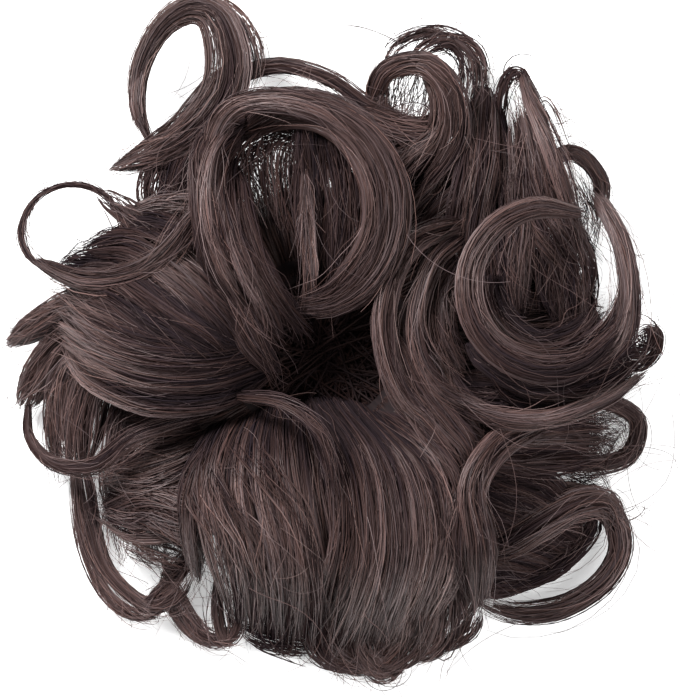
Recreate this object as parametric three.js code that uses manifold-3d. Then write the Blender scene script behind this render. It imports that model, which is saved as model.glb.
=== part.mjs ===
// Top knot hairpiece: an elastic band with hair wefts stitched round it, and curled tufts of
// locks that roll outwards from the wefts. It lies flat, seen from above as it is worn from
// behind. Millimetres, +Z up, X and Y in the plane that it lies on, origin on that plane.
import * as THREE from "three";
import { mergeVertices } from "three/addons/utils/BufferGeometryUtils.js";
import Module from "manifold-3d";

const wasm = await Module();
wasm.setup();

// Driving dimensions
const HAIR_RADIUS = 80; // from the middle of the hole to the outermost curls
const HAIR_HEIGHT = 46; // from the lying plane to the crest that the locks run over
const LOCK_WIDTH = 10; // an ordinary lock, across
const LOCK_DEPTH = 6; // an ordinary lock, through
const HOLE_RADIUS = 13; // clear way inside the band for the wearer's own knot of hair
const CORD_THICKNESS = 7; // the elastic band's cord
const WEFT_UNDER = 4; // wefts under the cord, down to the lying plane
const WEFT_OVER = 16; // wefts over the cord
const WEFT_AROUND = 17.5; // wefts outside the cord, where they are widest
const WEFT_FOOT_INSET = 6; // the flat underside of the wefts stops this far inside their widest
const CLEARANCE = 0.3; // gap between neighbouring solids

// Faceting
const ROUND_SIDES = 32; // round the hole
const CORD_SIDES = 10; // round the band's cord
const SECTION_SIDES = 6; // round a lock
const DEGREES_PER_STEP = 23; // along a lock, by how much it turns
const LENGTH_PER_STEP = 13; // along a lock, where it is straighter
const LEAST_STEPS = 4;
const RING_STATIONS = 9; // the points that a ring is drawn through

// Share of a lock's width that is left at its root and at its tip, and the share of its length
// over which it narrows.
const ROOT = { left: 0.55, over: 0.1 };
const TIP = { left: 0.22, over: 0.22 };

// Locks, by tuft. Each column runs from the lock's root to its tip.
// x, y: the stations that the lock runs through, seen from above, as shares of HAIR_RADIUS
// A lock that curls into a ring has the ring's centre there instead, and these columns:
// r: its radius at the root and at the tip, as shares of HAIR_RADIUS
// from, turn: the angle at the root and the angle turned through, in degrees, anticlockwise
// flat, lean: the ring's short axis as a share of its long one, and the long one's direction
// z: height, as shares of HAIR_HEIGHT
// wide: width, as shares of LOCK_WIDTH
// deep: as a share of LOCK_DEPTH
// Tufts are listed from the uppermost down: each gives way to those above it.
const TUFTS = {
  top_roll: [
    {
      x: -0.07, y: 0.41, r: [0.295, 0.285], flat: 0.88, lean: 90, from: 128, turn: -222,
      z: [0.7, 0.95, 0.98, 0.9, 0.72], wide: [0.9, 1.1, 1.2, 1.1, 0.8], deep: 1,
    },
    {
      x: [-0.24, -0.08, 0.1, 0.22], y: [0.715, 0.745, 0.665, 0.515], z: [0.6, 0.8, 0.86, 0.76],
      wide: [0.5, 0.65, 0.75, 0.5], deep: 1,
    },
    {
      x: [-0.22, -0.33, -0.33, -0.3, -0.21], y: [0.68, 0.6, 0.46, 0.28, 0.08],
      z: [0.72, 0.84, 0.95, 0.95, 0.7], wide: [0.6, 0.7, 0.9, 1.0, 0.7], deep: 1,
    },
    {
      x: [-0.27, -0.25, -0.18, -0.06], y: [0.53, 0.37, 0.2, 0.04], z: [0.72, 0.92, 0.92, 0.66],
      wide: [0.7, 0.8, 0.9, 0.6], deep: 1,
    },
    {
      x: [-0.3, -0.26, -0.2, -0.12], y: [0.3, 0.16, 0.03, -0.08], z: [0.8, 0.82, 0.78, 0.6],
      wide: [0.7, 0.8, 0.8, 0.5], deep: 0.9,
    },
    {
      x: [-0.05, -0.03, -0.03, -0.02], y: [0.68, 0.54, 0.36, 0.15], z: [0.9, 0.76, 0.7, 0.68],
      wide: [0.7, 0.7, 0.6, 0.5], deep: 0.8,
    },
    {
      x: [0.02, 0.05, 0.07, 0.04], y: [0.67, 0.55, 0.38, 0.16], z: [0.92, 0.8, 0.76, 0.72],
      wide: [0.8, 0.9, 0.9, 0.7], deep: 1,
    },
  ],
  right_swirl: [
    {
      x: 0.665, y: 0.185, r: [0.235, 0.24], from: 68, turn: 262,
      z: [0.66, 0.9, 0.96, 0.84, 0.62], wide: [0.6, 0.8, 0.9, 0.9, 0.7], deep: 1,
    },
    {
      x: 0.665, y: 0.185, r: [0.2, 0.235], from: 262, turn: 158, z: [0.66, 0.6, 0.5, 0.45],
      wide: [0.8, 0.9, 0.7, 0.5], deep: 1,
    },
    {
      x: 0.66, y: 0.18, r: [0.165, 0.165], from: 165, turn: 178, z: [0.78, 0.72, 0.6, 0.5],
      wide: [0.6, 0.8, 0.9, 0.7], deep: 0.9,
    },
    {
      x: 0.65, y: 0.18, r: [0.27, 0.275], from: 216, turn: 96, z: [0.76, 0.76, 0.62, 0.46],
      wide: [0.6, 0.9, 0.9, 0.6], deep: 1,
    },
  ],
  right_crescent: [
    {
      x: [0.42, 0.26, 0.19, 0.25, 0.43], y: [0.38, 0.3, 0.08, -0.14, -0.27],
      z: [0.62, 0.8, 0.84, 0.78, 0.62], wide: [0.7, 0.9, 1.0, 0.9, 0.6], deep: 1,
    },
    {
      x: [0.42, 0.32, 0.27, 0.33, 0.47], y: [0.34, 0.25, 0.06, -0.1, -0.19],
      z: [0.6, 0.74, 0.78, 0.76, 0.72], wide: [0.6, 0.8, 0.8, 0.8, 0.7], deep: 1,
    },
    {
      x: [0.36, 0.5, 0.65, 0.82, 0.96], y: [-0.12, -0.18, -0.19, -0.14, -0.07],
      z: [0.72, 0.78, 0.74, 0.56, 0.36], wide: [0.7, 0.9, 0.9, 0.6, 0.3], deep: 0.9,
    },
    {
      x: [0.4, 0.34, 0.34, 0.42], y: [0.27, 0.17, 0.04, -0.08], z: [0.6, 0.66, 0.68, 0.62],
      wide: [0.8, 1.0, 1.0, 0.8], deep: 1,
    },
  ],
  s_lock: [
    {
      x: [0.66, 0.52, 0.44, 0.465, 0.46], y: [-0.21, -0.27, -0.4, -0.58, -0.78],
      z: [0.52, 0.72, 0.84, 0.72, 0.3], wide: [0.6, 0.8, 0.9, 1.0, 0.7], deep: 0.9,
    },
    {
      x: [0.5, 0.42, 0.39, 0.42], y: [-0.29, -0.4, -0.56, -0.75], z: [0.62, 0.78, 0.72, 0.35],
      wide: [0.5, 0.8, 0.9, 0.7], deep: 0.8,
    },
  ],
  cleft_lock: [
    {
      x: [-0.26, -0.11, 0.0, 0.05], y: [-0.135, -0.155, -0.25, -0.42],
      z: [0.72, 0.98, 1.04, 0.94], wide: [0.4, 0.5, 0.5, 0.3], deep: 0.5,
    },
  ],
  bottom_fan_right: [
    {
      x: [-0.02, 0.06, 0.1, 0.08], y: [-0.16, -0.33, -0.6, -0.88], z: [0.5, 0.84, 0.72, 0.16],
      wide: [0.8, 1.2, 1.4, 1.2], deep: 1,
    },
    {
      x: [0.05, 0.15, 0.19, 0.17], y: [-0.16, -0.33, -0.6, -0.89], z: [0.5, 0.88, 0.76, 0.14],
      wide: [0.8, 1.2, 1.4, 1.2], deep: 1,
    },
    {
      x: [0.11, 0.23, 0.27, 0.24], y: [-0.17, -0.35, -0.6, -0.88], z: [0.5, 0.86, 0.72, 0.16],
      wide: [0.8, 1.2, 1.4, 1.2], deep: 1,
    },
    {
      x: [0.16, 0.31, 0.35, 0.31], y: [-0.19, -0.36, -0.58, -0.86], z: [0.5, 0.78, 0.66, 0.14],
      wide: [0.8, 1.2, 1.3, 1.1], deep: 1,
    },
  ],
  bottom_fan_left: [
    {
      x: [-0.08, -0.08, -0.08, -0.1], y: [-0.16, -0.34, -0.6, -0.86], z: [0.5, 0.78, 0.72, 0.14],
      wide: [0.8, 1.1, 1.4, 1.2], deep: 1,
    },
    {
      x: [-0.15, -0.18, -0.18, -0.19], y: [-0.18, -0.36, -0.6, -0.84],
      z: [0.5, 0.84, 0.72, 0.16], wide: [0.8, 1.2, 1.4, 1.1], deep: 1,
    },
    {
      x: [-0.22, -0.28, -0.28, -0.27], y: [-0.2, -0.38, -0.58, -0.82], z: [0.5, 0.8, 0.66, 0.14],
      wide: [0.8, 1.2, 1.3, 0.9], deep: 1,
    },
    {
      x: [-0.26, -0.36, -0.38, -0.36], y: [-0.2, -0.38, -0.54, -0.7], z: [0.5, 0.74, 0.6, 0.2],
      wide: [0.8, 1.1, 1.1, 0.7], deep: 1,
    },
    {
      x: [-0.02, 0.0, 0.0, 0.0], y: [-0.18, -0.36, -0.6, -0.86], z: [0.46, 0.66, 0.6, 0.12],
      wide: [0.8, 1.0, 1.3, 1.2], deep: 1,
    },
  ],
  left_fan: [
    {
      x: [-0.16, -0.32, -0.5, -0.66, -0.76], y: [-0.06, -0.115, -0.12, -0.06, 0.02],
      z: [0.52, 0.74, 0.78, 0.6, 0.36], wide: [0.7, 1.1, 1.2, 1.0, 0.6], deep: 1,
    },
    {
      x: [-0.17, -0.32, -0.5, -0.66, -0.78], y: [-0.01, -0.045, -0.045, 0.01, 0.09],
      z: [0.52, 0.84, 0.88, 0.68, 0.4], wide: [0.7, 1.1, 1.2, 1.0, 0.6], deep: 1,
    },
    {
      x: [-0.2, -0.34, -0.5, -0.64, -0.76], y: [0.04, 0.02, 0.03, 0.08, 0.15],
      z: [0.52, 0.84, 0.86, 0.66, 0.4], wide: [0.7, 1.1, 1.2, 1.0, 0.6], deep: 1,
    },
    {
      x: [-0.24, -0.36, -0.5, -0.62, -0.74], y: [0.09, 0.08, 0.11, 0.16, 0.19],
      z: [0.52, 0.76, 0.78, 0.6, 0.4], wide: [0.7, 1.1, 1.1, 0.9, 0.5], deep: 1,
    },
    {
      x: [-0.26, -0.36, -0.46, -0.58], y: [0.14, 0.16, 0.2, 0.26], z: [0.5, 0.7, 0.7, 0.5],
      wide: [0.7, 1.1, 1.1, 0.7], deep: 1,
    },
    {
      x: [-0.27, -0.38, -0.5, -0.68], y: [0.2, 0.25, 0.29, 0.28], z: [0.46, 0.6, 0.58, 0.36],
      wide: [0.8, 1.2, 1.3, 0.7], deep: 1.1,
    },
  ],
  left_loop: [
    {
      x: -0.735, y: 0.35, r: [0.15, 0.15], flat: 0.92, from: 18, turn: 222,
      z: [0.5, 0.4, 0.3, 0.36, 0.5], wide: [0.25, 0.2, 0.2, 0.25, 0.3], deep: 0.35,
    },
    {
      x: [-0.84, -0.7, -0.56, -0.4], y: [0.26, 0.205, 0.225, 0.33], z: [0.46, 0.58, 0.72, 0.7],
      wide: [0.3, 0.5, 0.5, 0.3], deep: 0.4,
    },
    {
      x: [-0.61, -0.52, -0.42, -0.33], y: [0.4, 0.41, 0.43, 0.44], z: [0.48, 0.5, 0.52, 0.56],
      wide: [0.3, 0.3, 0.35, 0.35], deep: 0.4,
    },
  ],
  left_tips: [
    {
      x: [-0.6, -0.77, -0.93], y: [0.17, 0.11, 0.02], z: [0.4, 0.36, 0.14],
      wide: [0.9, 1.1, 0.6], deep: 1,
    },
    {
      x: [-0.62, -0.78, -0.89], y: [0.09, 0.0, -0.17], z: [0.38, 0.3, 0.1],
      wide: [0.9, 1.1, 1.0], deep: 1,
    },
  ],
  tall_loop: [
    {
      x: -0.405, y: 0.8, r: [0.215, 0.215], flat: 0.62, lean: 72, from: 230, turn: -290,
      z: [0.42, 0.28, 0.3, 0.42, 0.6], wide: [0.35, 0.4, 0.55, 0.8, 1.0], deep: 0.8,
    },
    {
      x: [-0.26, -0.36, -0.47, -0.62], y: [0.82, 0.67, 0.59, 0.535], z: [0.52, 0.56, 0.46, 0.28],
      wide: [0.9, 1.1, 0.9, 0.3], deep: 0.8,
    },
    {
      x: [-0.28, -0.37, -0.42, -0.36], y: [0.72, 0.58, 0.42, 0.24], z: [0.46, 0.5, 0.44, 0.36],
      wide: [0.8, 1.0, 1.1, 0.9], deep: 0.9,
    },
  ],
  top_arc: [
    {
      x: [-0.28, -0.13, 0.02, 0.15, 0.32], y: [0.8, 0.832, 0.79, 0.705, 0.65],
      z: [0.3, 0.4, 0.46, 0.44, 0.38], wide: [0.4, 0.5, 0.5, 0.5, 0.4], deep: 0.7,
    },
  ],
  right_fall: [
    {
      x: [0.48, 0.46, 0.43, 0.4], y: [0.76, 0.58, 0.4, 0.2], z: [0.26, 0.52, 0.6, 0.46],
      wide: [0.6, 1.0, 1.0, 0.8], deep: 1,
    },
    {
      x: [0.51, 0.49, 0.38, 0.25], y: [0.68, 0.5, 0.37, 0.26], z: [0.32, 0.48, 0.52, 0.5],
      wide: [0.6, 1.0, 1.0, 0.7], deep: 1,
    },
    {
      x: [0.44, 0.39, 0.3, 0.2], y: [0.62, 0.48, 0.38, 0.28], z: [0.32, 0.42, 0.44, 0.44],
      wide: [0.7, 1.3, 1.3, 1.0], deep: 1,
    },
  ],
  top_curl: [
    {
      x: [0.14, 0.19, 0.3, 0.385, 0.385, 0.27], y: [0.72, 0.82, 0.84, 0.75, 0.6, 0.44],
      z: [0.4, 0.5, 0.6, 0.6, 0.56, 0.5], wide: [0.6, 0.7, 0.8, 0.8, 0.9, 0.8], deep: 1,
    },
    {
      x: [0.31, 0.35, 0.34, 0.26, 0.18], y: [0.83, 0.74, 0.64, 0.56, 0.48],
      z: [0.52, 0.54, 0.52, 0.5, 0.44], wide: [0.6, 0.7, 0.8, 0.8, 0.7], deep: 0.9,
    },
    {
      x: [0.18, 0.17, 0.22, 0.33], y: [0.8, 0.7, 0.62, 0.57], z: [0.44, 0.4, 0.42, 0.46],
      wide: [0.5, 0.8, 0.8, 0.6], deep: 0.9,
    },
  ],
  top_thin_loop: [
    {
      x: [0.26, 0.33, 0.43, 0.465, 0.42], y: [0.86, 0.91, 0.895, 0.81, 0.66],
      z: [0.4, 0.34, 0.26, 0.22, 0.26], wide: [0.3, 0.3, 0.3, 0.3, 0.3], deep: 0.4,
    },
  ],
  right_peak: [
    {
      x: [0.6, 0.65, 0.7, 0.77], y: [0.81, 0.65, 0.51, 0.3], z: [0.22, 0.5, 0.56, 0.4],
      wide: [0.4, 0.8, 0.8, 0.6], deep: 1,
    },
    {
      x: [0.58, 0.61, 0.645, 0.7], y: [0.8, 0.64, 0.48, 0.26], z: [0.22, 0.46, 0.54, 0.4],
      wide: [0.4, 0.8, 0.9, 0.9], deep: 1,
    },
    {
      x: [0.555, 0.58, 0.59, 0.585], y: [0.78, 0.62, 0.45, 0.14], z: [0.2, 0.4, 0.5, 0.42],
      wide: [0.4, 0.8, 0.9, 0.9], deep: 1,
    },
    {
      x: [0.505, 0.53, 0.535, 0.5], y: [0.74, 0.6, 0.42, 0.2], z: [0.2, 0.38, 0.46, 0.42],
      wide: [0.5, 0.8, 0.9, 0.8], deep: 1,
    },
  ],
  right_under: [
    {
      x: [0.36, 0.5, 0.66, 0.84], y: [0.14, 0.07, 0.06, 0.1], z: [0.4, 0.34, 0.28, 0.2],
      wide: [1.2, 2.0, 2.2, 1.4], deep: 1,
    },
    {
      x: [0.38, 0.52, 0.66, 0.78], y: [0.22, 0.21, 0.21, 0.24], z: [0.36, 0.3, 0.26, 0.22],
      wide: [1.2, 1.6, 1.6, 0.9], deep: 1,
    },
    {
      x: [0.36, 0.55, 0.76, 0.93], y: [-0.02, -0.07, -0.06, -0.02], z: [0.4, 0.4, 0.34, 0.2],
      wide: [1.2, 1.6, 1.6, 0.9], deep: 1,
    },
  ],
  right_upper_loop: [
    {
      x: [0.64, 0.74, 0.82, 0.82], y: [0.54, 0.58, 0.5, 0.38], z: [0.4, 0.4, 0.28, 0.28],
      wide: [0.4, 0.4, 0.4, 0.35], deep: 0.7,
    },
  ],
  right_middle: [
    {
      x: [0.34, 0.5, 0.66, 0.84], y: [-0.25, -0.25, -0.23, -0.22], z: [0.46, 0.54, 0.48, 0.3],
      wide: [0.8, 1.0, 1.0, 0.6], deep: 1,
    },
    {
      x: [0.38, 0.54, 0.7, 0.82], y: [-0.28, -0.31, -0.3, -0.3], z: [0.42, 0.46, 0.4, 0.26],
      wide: [0.8, 1.1, 1.1, 0.6], deep: 1,
    },
  ],
  right_lower_loop: [
    {
      x: [0.66, 0.8, 0.93, 0.91, 0.79, 0.68], y: [-0.24, -0.15, -0.2, -0.31, -0.345, -0.33],
      z: [0.36, 0.3, 0.16, 0.14, 0.2, 0.26], wide: [0.4, 0.4, 0.4, 0.4, 0.4, 0.4], deep: 0.7,
    },
  ],
  bottom_right_loop: [
    {
      x: 0.64, y: -0.6, r: [0.24, 0.24], flat: 0.7, lean: 15, from: 122, turn: -256,
      z: [0.36, 0.26, 0.16, 0.14, 0.2], wide: [0.7, 0.75, 0.75, 0.75, 0.75], deep: 0.8,
    },
  ],
  bottom_right_fan: [
    {
      x: [0.38, 0.52, 0.64, 0.76], y: [-0.32, -0.38, -0.42, -0.5], z: [0.36, 0.42, 0.38, 0.22],
      wide: [1.0, 1.3, 1.2, 0.7], deep: 1,
    },
    {
      x: [0.38, 0.5, 0.62, 0.74], y: [-0.4, -0.47, -0.51, -0.57], z: [0.36, 0.42, 0.34, 0.18],
      wide: [1.0, 1.4, 1.3, 0.7], deep: 1,
    },
    {
      x: [0.38, 0.48, 0.58, 0.68], y: [-0.48, -0.57, -0.6, -0.63], z: [0.34, 0.38, 0.3, 0.14],
      wide: [1.0, 1.4, 1.2, 0.7], deep: 1,
    },
    {
      x: [0.38, 0.46, 0.54, 0.62], y: [-0.54, -0.64, -0.66, -0.67], z: [0.32, 0.34, 0.26, 0.14],
      wide: [0.9, 1.2, 1.0, 0.6], deep: 1,
    },
  ],
  left_low_loop: [
    {
      x: [-0.87, -0.865, -0.79, -0.67, -0.55, -0.36],
      y: [-0.16, -0.26, -0.335, -0.34, -0.25, -0.2], z: [0.14, 0.2, 0.36, 0.54, 0.64, 0.6],
      wide: [0.2, 0.2, 0.3, 0.4, 0.4, 0.3], deep: 0.4,
    },
  ],
  left_low_tuft: [
    {
      x: [-0.62, -0.73, -0.77, -0.77], y: [0.0, -0.06, -0.18, -0.36], z: [0.3, 0.32, 0.26, 0.14],
      wide: [0.8, 1.0, 1.0, 0.7], deep: 0.9,
    },
    {
      x: [-0.56, -0.66, -0.7, -0.71], y: [-0.04, -0.08, -0.2, -0.37],
      z: [0.34, 0.35, 0.29, 0.16], wide: [0.8, 1.0, 1.0, 0.7], deep: 0.9,
    },
  ],
  left_nest: [
    {
      x: [-0.24, -0.4, -0.54, -0.64], y: [-0.26, -0.36, -0.4, -0.38], z: [0.4, 0.46, 0.42, 0.28],
      wide: [1.0, 1.1, 1.0, 0.7], deep: 1,
    },
    {
      x: [-0.26, -0.41, -0.54, -0.66], y: [-0.38, -0.46, -0.49, -0.45],
      z: [0.36, 0.42, 0.38, 0.24], wide: [1.0, 1.2, 1.1, 0.7], deep: 1,
    },
    {
      x: [-0.22, -0.4, -0.52, -0.62], y: [-0.16, -0.25, -0.29, -0.35],
      z: [0.44, 0.46, 0.42, 0.3], wide: [1.0, 1.2, 1.0, 0.7], deep: 1,
    },
    {
      x: [-0.54, -0.59, -0.61, -0.6], y: [-0.08, -0.22, -0.38, -0.54],
      z: [0.36, 0.32, 0.28, 0.16], wide: [0.7, 0.8, 0.8, 0.6], deep: 0.9,
    },
  ],
  bottom_left_loop: [
    {
      x: [-0.72, -0.7, -0.65, -0.53, -0.43, -0.36], y: [-0.34, -0.5, -0.66, -0.765, -0.73, -0.6],
      z: [0.22, 0.16, 0.12, 0.12, 0.2, 0.3], wide: [0.8, 0.8, 0.7, 0.5, 0.5, 0.4], deep: 0.8,
    },
  ],
  bottom_left_arc: [
    {
      x: [-0.33, -0.46, -0.42, -0.34, -0.24], y: [-0.54, -0.68, -0.8, -0.865, -0.865],
      z: [0.28, 0.14, 0.1, 0.1, 0.12], wide: [0.4, 0.4, 0.35, 0.3, 0.3], deep: 0.5,
    },
  ],
  bottom_curls: [
    {
      x: [-0.03, 0.05, 0.13, 0.23], y: [-0.83, -0.925, -0.94, -0.86],
      z: [0.12, 0.08, 0.08, 0.12], wide: [0.4, 0.4, 0.4, 0.3], deep: 0.5,
    },
  ],
};

// The material's looks
const HAIR_LOOK = { roughness: 0.5, metalness: 0 };
const HAIR_SHADES = [0x3a2622, 0x4a322c, 0x30201e, 0x54392f];
const BAND_COLOR = 0x1c1413;
const WEFT_COLOR = 0x2a1c1a;

// What a column of the table says at a share t of the lock's length.
function column(values, t) {
  const at = t * (values.length - 1);
  const before = Math.min(Math.floor(at), values.length - 2);
  return THREE.MathUtils.lerp(values[before], values[before + 1], at - before);
}

// Where a lock's middle line is at a share t of its length, seen from above, in shares.
function plan(row, t) {
  if (Array.isArray(row.x)) return new THREE.Vector3(column(row.x, t), column(row.y, t), 0);
  const { x, y, r, from, turn, flat = 1, lean = 0 } = row;
  const angle = THREE.MathUtils.degToRad(from + turn * t - lean);
  const radius = column(r, t);
  const point = new THREE.Vector3(radius * Math.cos(angle), radius * flat * Math.sin(angle), 0);
  point.applyAxisAngle(new THREE.Vector3(0, 0, 1), THREE.MathUtils.degToRad(lean));
  return point.add(new THREE.Vector3(x, y, 0));
}

// A lock's middle line. No lock reaches below the lying plane.
function middleLine(row) {
  const count = Array.isArray(row.x) ? row.x.length : RING_STATIONS;
  const lowest = (row.deep * LOCK_DEPTH) / 2 + CLEARANCE;
  const stations = Array.from({ length: count }, (_, i) => {
    const t = i / (count - 1);
    const point = plan(row, t).multiplyScalar(HAIR_RADIUS);
    return point.setZ(Math.max(lowest, HAIR_HEIGHT * column(row.z, t)));
  });
  return new THREE.CatmullRomCurve3(stations, false, "catmullrom", 0.5);
}

// How much of its width a lock has at a share t of its length.
function taper(t) {
  const root = Math.min(1, t / ROOT.over);
  const tip = Math.min(1, (1 - t) / TIP.over);
  return (ROOT.left + (1 - ROOT.left) * root) * (TIP.left + (1 - TIP.left) * Math.sqrt(tip));
}

// How many steps a lock's middle line is drawn in.
function stepsOf(line) {
  const samples = 24;
  const tangents = Array.from({ length: samples + 1 }, (_, i) => line.getTangent(i / samples));
  const turned = tangents.slice(1).reduce((sum, next, i) => sum + next.angleTo(tangents[i]), 0);
  const byTurn = THREE.MathUtils.radToDeg(turned) / DEGREES_PER_STEP;
  const byLength = line.getLength() / LENGTH_PER_STEP;
  return Math.ceil(Math.max(LEAST_STEPS, byLength, Math.min(byTurn, 2 * byLength)));
}

function geometryOf(positions, faces) {
  const geometry = new THREE.BufferGeometry();
  geometry.setAttribute("position", new THREE.Float32BufferAttribute(positions, 3));
  geometry.setIndex(faces);
  return geometry;
}

// A lens-shaped section carried along a lock's middle line, lying flat, larger by grow all round.
function lockGeometry(row, grow = 0) {
  const line = middleLine(row);
  const steps = stepsOf(line);
  const positions = [];
  const faces = [];
  const up = new THREE.Vector3(0, 0, 1);
  for (let i = 0; i <= steps; i++) {
    const t = i / steps;
    const tangent = line.getTangent(t);
    const side = new THREE.Vector3().crossVectors(up, tangent).normalize();
    const lift = new THREE.Vector3().crossVectors(tangent, side);
    const centre = line.getPoint(t);
    if (i === 0) centre.addScaledVector(tangent, -grow);
    if (i === steps) centre.addScaledVector(tangent, grow);
    const halfWide = (LOCK_WIDTH * column(row.wide, t) * taper(t)) / 2 + grow;
    const halfDeep = (LOCK_DEPTH * row.deep * Math.sqrt(taper(t))) / 2 + grow;
    for (let k = 0; k < SECTION_SIDES; k++) {
      const angle = (2 * Math.PI * k) / SECTION_SIDES;
      const point = centre
        .clone()
        .addScaledVector(side, halfWide * Math.cos(angle))
        .addScaledVector(lift, halfDeep * Math.sin(angle));
      positions.push(point.x, point.y, point.z);
    }
  }
  const at = (i, k) => i * SECTION_SIDES + (k % SECTION_SIDES);
  for (let i = 0; i < steps; i++)
    for (let k = 0; k < SECTION_SIDES; k++) {
      faces.push(at(i, k), at(i, k + 1), at(i + 1, k));
      faces.push(at(i, k + 1), at(i + 1, k + 1), at(i + 1, k));
    }
  for (let k = 1; k < SECTION_SIDES - 1; k++) {
    faces.push(at(0, 0), at(0, k + 1), at(0, k));
    faces.push(at(steps, 0), at(steps, k), at(steps, k + 1));
  }
  return geometryOf(positions, faces);
}

// A profile of [radius, height] points that closes on itself, turned about Z.
function turned(points) {
  const profile = [...points, points[0]].map(([radius, height]) => new THREE.Vector2(radius, height));
  return new THREE.LatheGeometry(profile, ROUND_SIDES).rotateX(Math.PI / 2);
}

function solidOf(geometry) {
  const bare = geometry.clone();
  bare.deleteAttribute("normal");
  bare.deleteAttribute("uv");
  const merged = mergeVertices(bare, 1e-4);
  const vertProperties = merged.attributes.position.array;
  const triVerts = new Uint32Array(merged.index.array);
  return new wasm.Manifold(new wasm.Mesh({ numProp: 3, vertProperties, triVerts }));
}

function meshOf(name, solid, color) {
  const { vertProperties, triVerts } = solid.getMesh();
  const geometry = geometryOf(Array.from(vertProperties), Array.from(triVerts));
  geometry.computeVertexNormals();
  const mesh = new THREE.Mesh(geometry, new THREE.MeshStandardMaterial({ color, ...HAIR_LOOK }));
  mesh.name = name;
  return mesh;
}

// The largest of a solid's separate bodies. Where a lock above cuts right through a lock, what
// is left beyond the cut lies under the one above.
function mainBody(solid) {
  return solid.decompose().reduce((best, body) => (body.volume() > best.volume() ? body : best));
}

const joined = (solids) => solids.reduce((whole, solid) => whole.add(solid));

// The elastic band's cord: a ring of round section round the hole, larger by grow.
const cordRadius = CORD_THICKNESS / 2;
const cordMiddle = HOLE_RADIUS + cordRadius;
function cordProfile(grow = 0) {
  return Array.from({ length: CORD_SIDES }, (_, k) => {
    const angle = (2 * Math.PI * (k + 0.5)) / CORD_SIDES;
    const radius = cordMiddle + (cordRadius + grow) * Math.cos(angle);
    return [radius, WEFT_UNDER + cordRadius + (cordRadius + grow) * Math.sin(angle)];
  });
}

// The wefts: a thick ring stitched round the outer half of the cord, flat where it lies, larger
// by grow all round.
function weftProfile(grow = 0) {
  const widest = cordMiddle + cordRadius + WEFT_AROUND;
  const top = WEFT_UNDER + CORD_THICKNESS + WEFT_OVER;
  const ridge = (cordMiddle + widest) / 2;
  return [
    [cordMiddle - grow, -grow],
    [widest - WEFT_FOOT_INSET + grow, -grow],
    [widest + grow, top * 0.3],
    [widest + grow, top * 0.6],
    [(widest + ridge) / 2 + grow, top * 0.92 + grow],
    [ridge, top + grow],
    [(cordMiddle + ridge) / 2 - grow, top * 0.94 + grow],
    [cordMiddle - grow, top * 0.72],
  ];
}

const cord = solidOf(turned(cordProfile()));
const wefts = solidOf(turned(weftProfile())).subtract(solidOf(turned(cordProfile(CLEARANCE))));
const hole = solidOf(
  new THREE.CylinderGeometry(HOLE_RADIUS, HOLE_RADIUS, 4 * HAIR_HEIGHT, ROUND_SIDES).rotateX(Math.PI / 2),
);

// What each tuft keeps clear of: the wefts, the cord, the way through and the tufts above it.
const taken = [solidOf(turned(weftProfile(CLEARANCE))), solidOf(turned(cordProfile(CLEARANCE))), hole];

const hairpiece = new THREE.Group();
hairpiece.add(meshOf("elastic_band", cord, BAND_COLOR));
hairpiece.add(meshOf("weft_base", wefts, WEFT_COLOR));
Object.entries(TUFTS).forEach(([name, locks], index) => {
  const whole = joined(locks.map((row) => solidOf(lockGeometry(row))));
  const cleared = taken.reduce((rest, solid) => rest.subtract(solid), whole);
  hairpiece.add(meshOf(name, mainBody(cleared), HAIR_SHADES[index % HAIR_SHADES.length]));
  taken.push(joined(locks.map((row) => solidOf(lockGeometry(row, CLEARANCE)))));
});

// The origin is the middle of the object's box, on the plane that it lies on.
const box = new THREE.Box3().setFromObject(hairpiece);
const middle = box.getCenter(new THREE.Vector3());
hairpiece.children.forEach((mesh) => mesh.position.set(-middle.x, -middle.y, -box.min.z));

export default hairpiece;
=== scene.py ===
"""Top knot hairpiece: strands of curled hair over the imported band, wefts and tufts."""

import math

import bpy
import numpy as np
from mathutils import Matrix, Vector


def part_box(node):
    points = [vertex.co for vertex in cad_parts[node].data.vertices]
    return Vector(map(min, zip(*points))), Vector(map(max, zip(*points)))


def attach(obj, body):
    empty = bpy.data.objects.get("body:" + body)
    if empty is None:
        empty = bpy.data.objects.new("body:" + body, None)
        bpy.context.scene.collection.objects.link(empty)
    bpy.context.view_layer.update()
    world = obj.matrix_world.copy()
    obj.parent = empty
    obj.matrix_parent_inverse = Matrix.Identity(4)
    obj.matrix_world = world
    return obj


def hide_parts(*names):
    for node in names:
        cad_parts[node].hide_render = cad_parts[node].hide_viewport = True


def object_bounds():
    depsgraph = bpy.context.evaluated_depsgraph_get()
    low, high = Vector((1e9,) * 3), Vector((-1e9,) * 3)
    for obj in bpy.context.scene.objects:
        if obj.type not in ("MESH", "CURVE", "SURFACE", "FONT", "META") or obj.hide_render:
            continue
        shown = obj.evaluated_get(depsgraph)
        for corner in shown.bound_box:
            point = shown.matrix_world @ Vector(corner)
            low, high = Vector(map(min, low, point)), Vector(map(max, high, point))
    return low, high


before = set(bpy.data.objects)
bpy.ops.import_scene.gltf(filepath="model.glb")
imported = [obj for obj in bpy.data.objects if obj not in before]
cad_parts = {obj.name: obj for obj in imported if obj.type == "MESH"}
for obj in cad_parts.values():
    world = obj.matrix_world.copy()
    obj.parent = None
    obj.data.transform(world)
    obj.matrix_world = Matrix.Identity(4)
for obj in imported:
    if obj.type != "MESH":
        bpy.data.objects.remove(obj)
cad_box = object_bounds()

MM = 0.001

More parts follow.
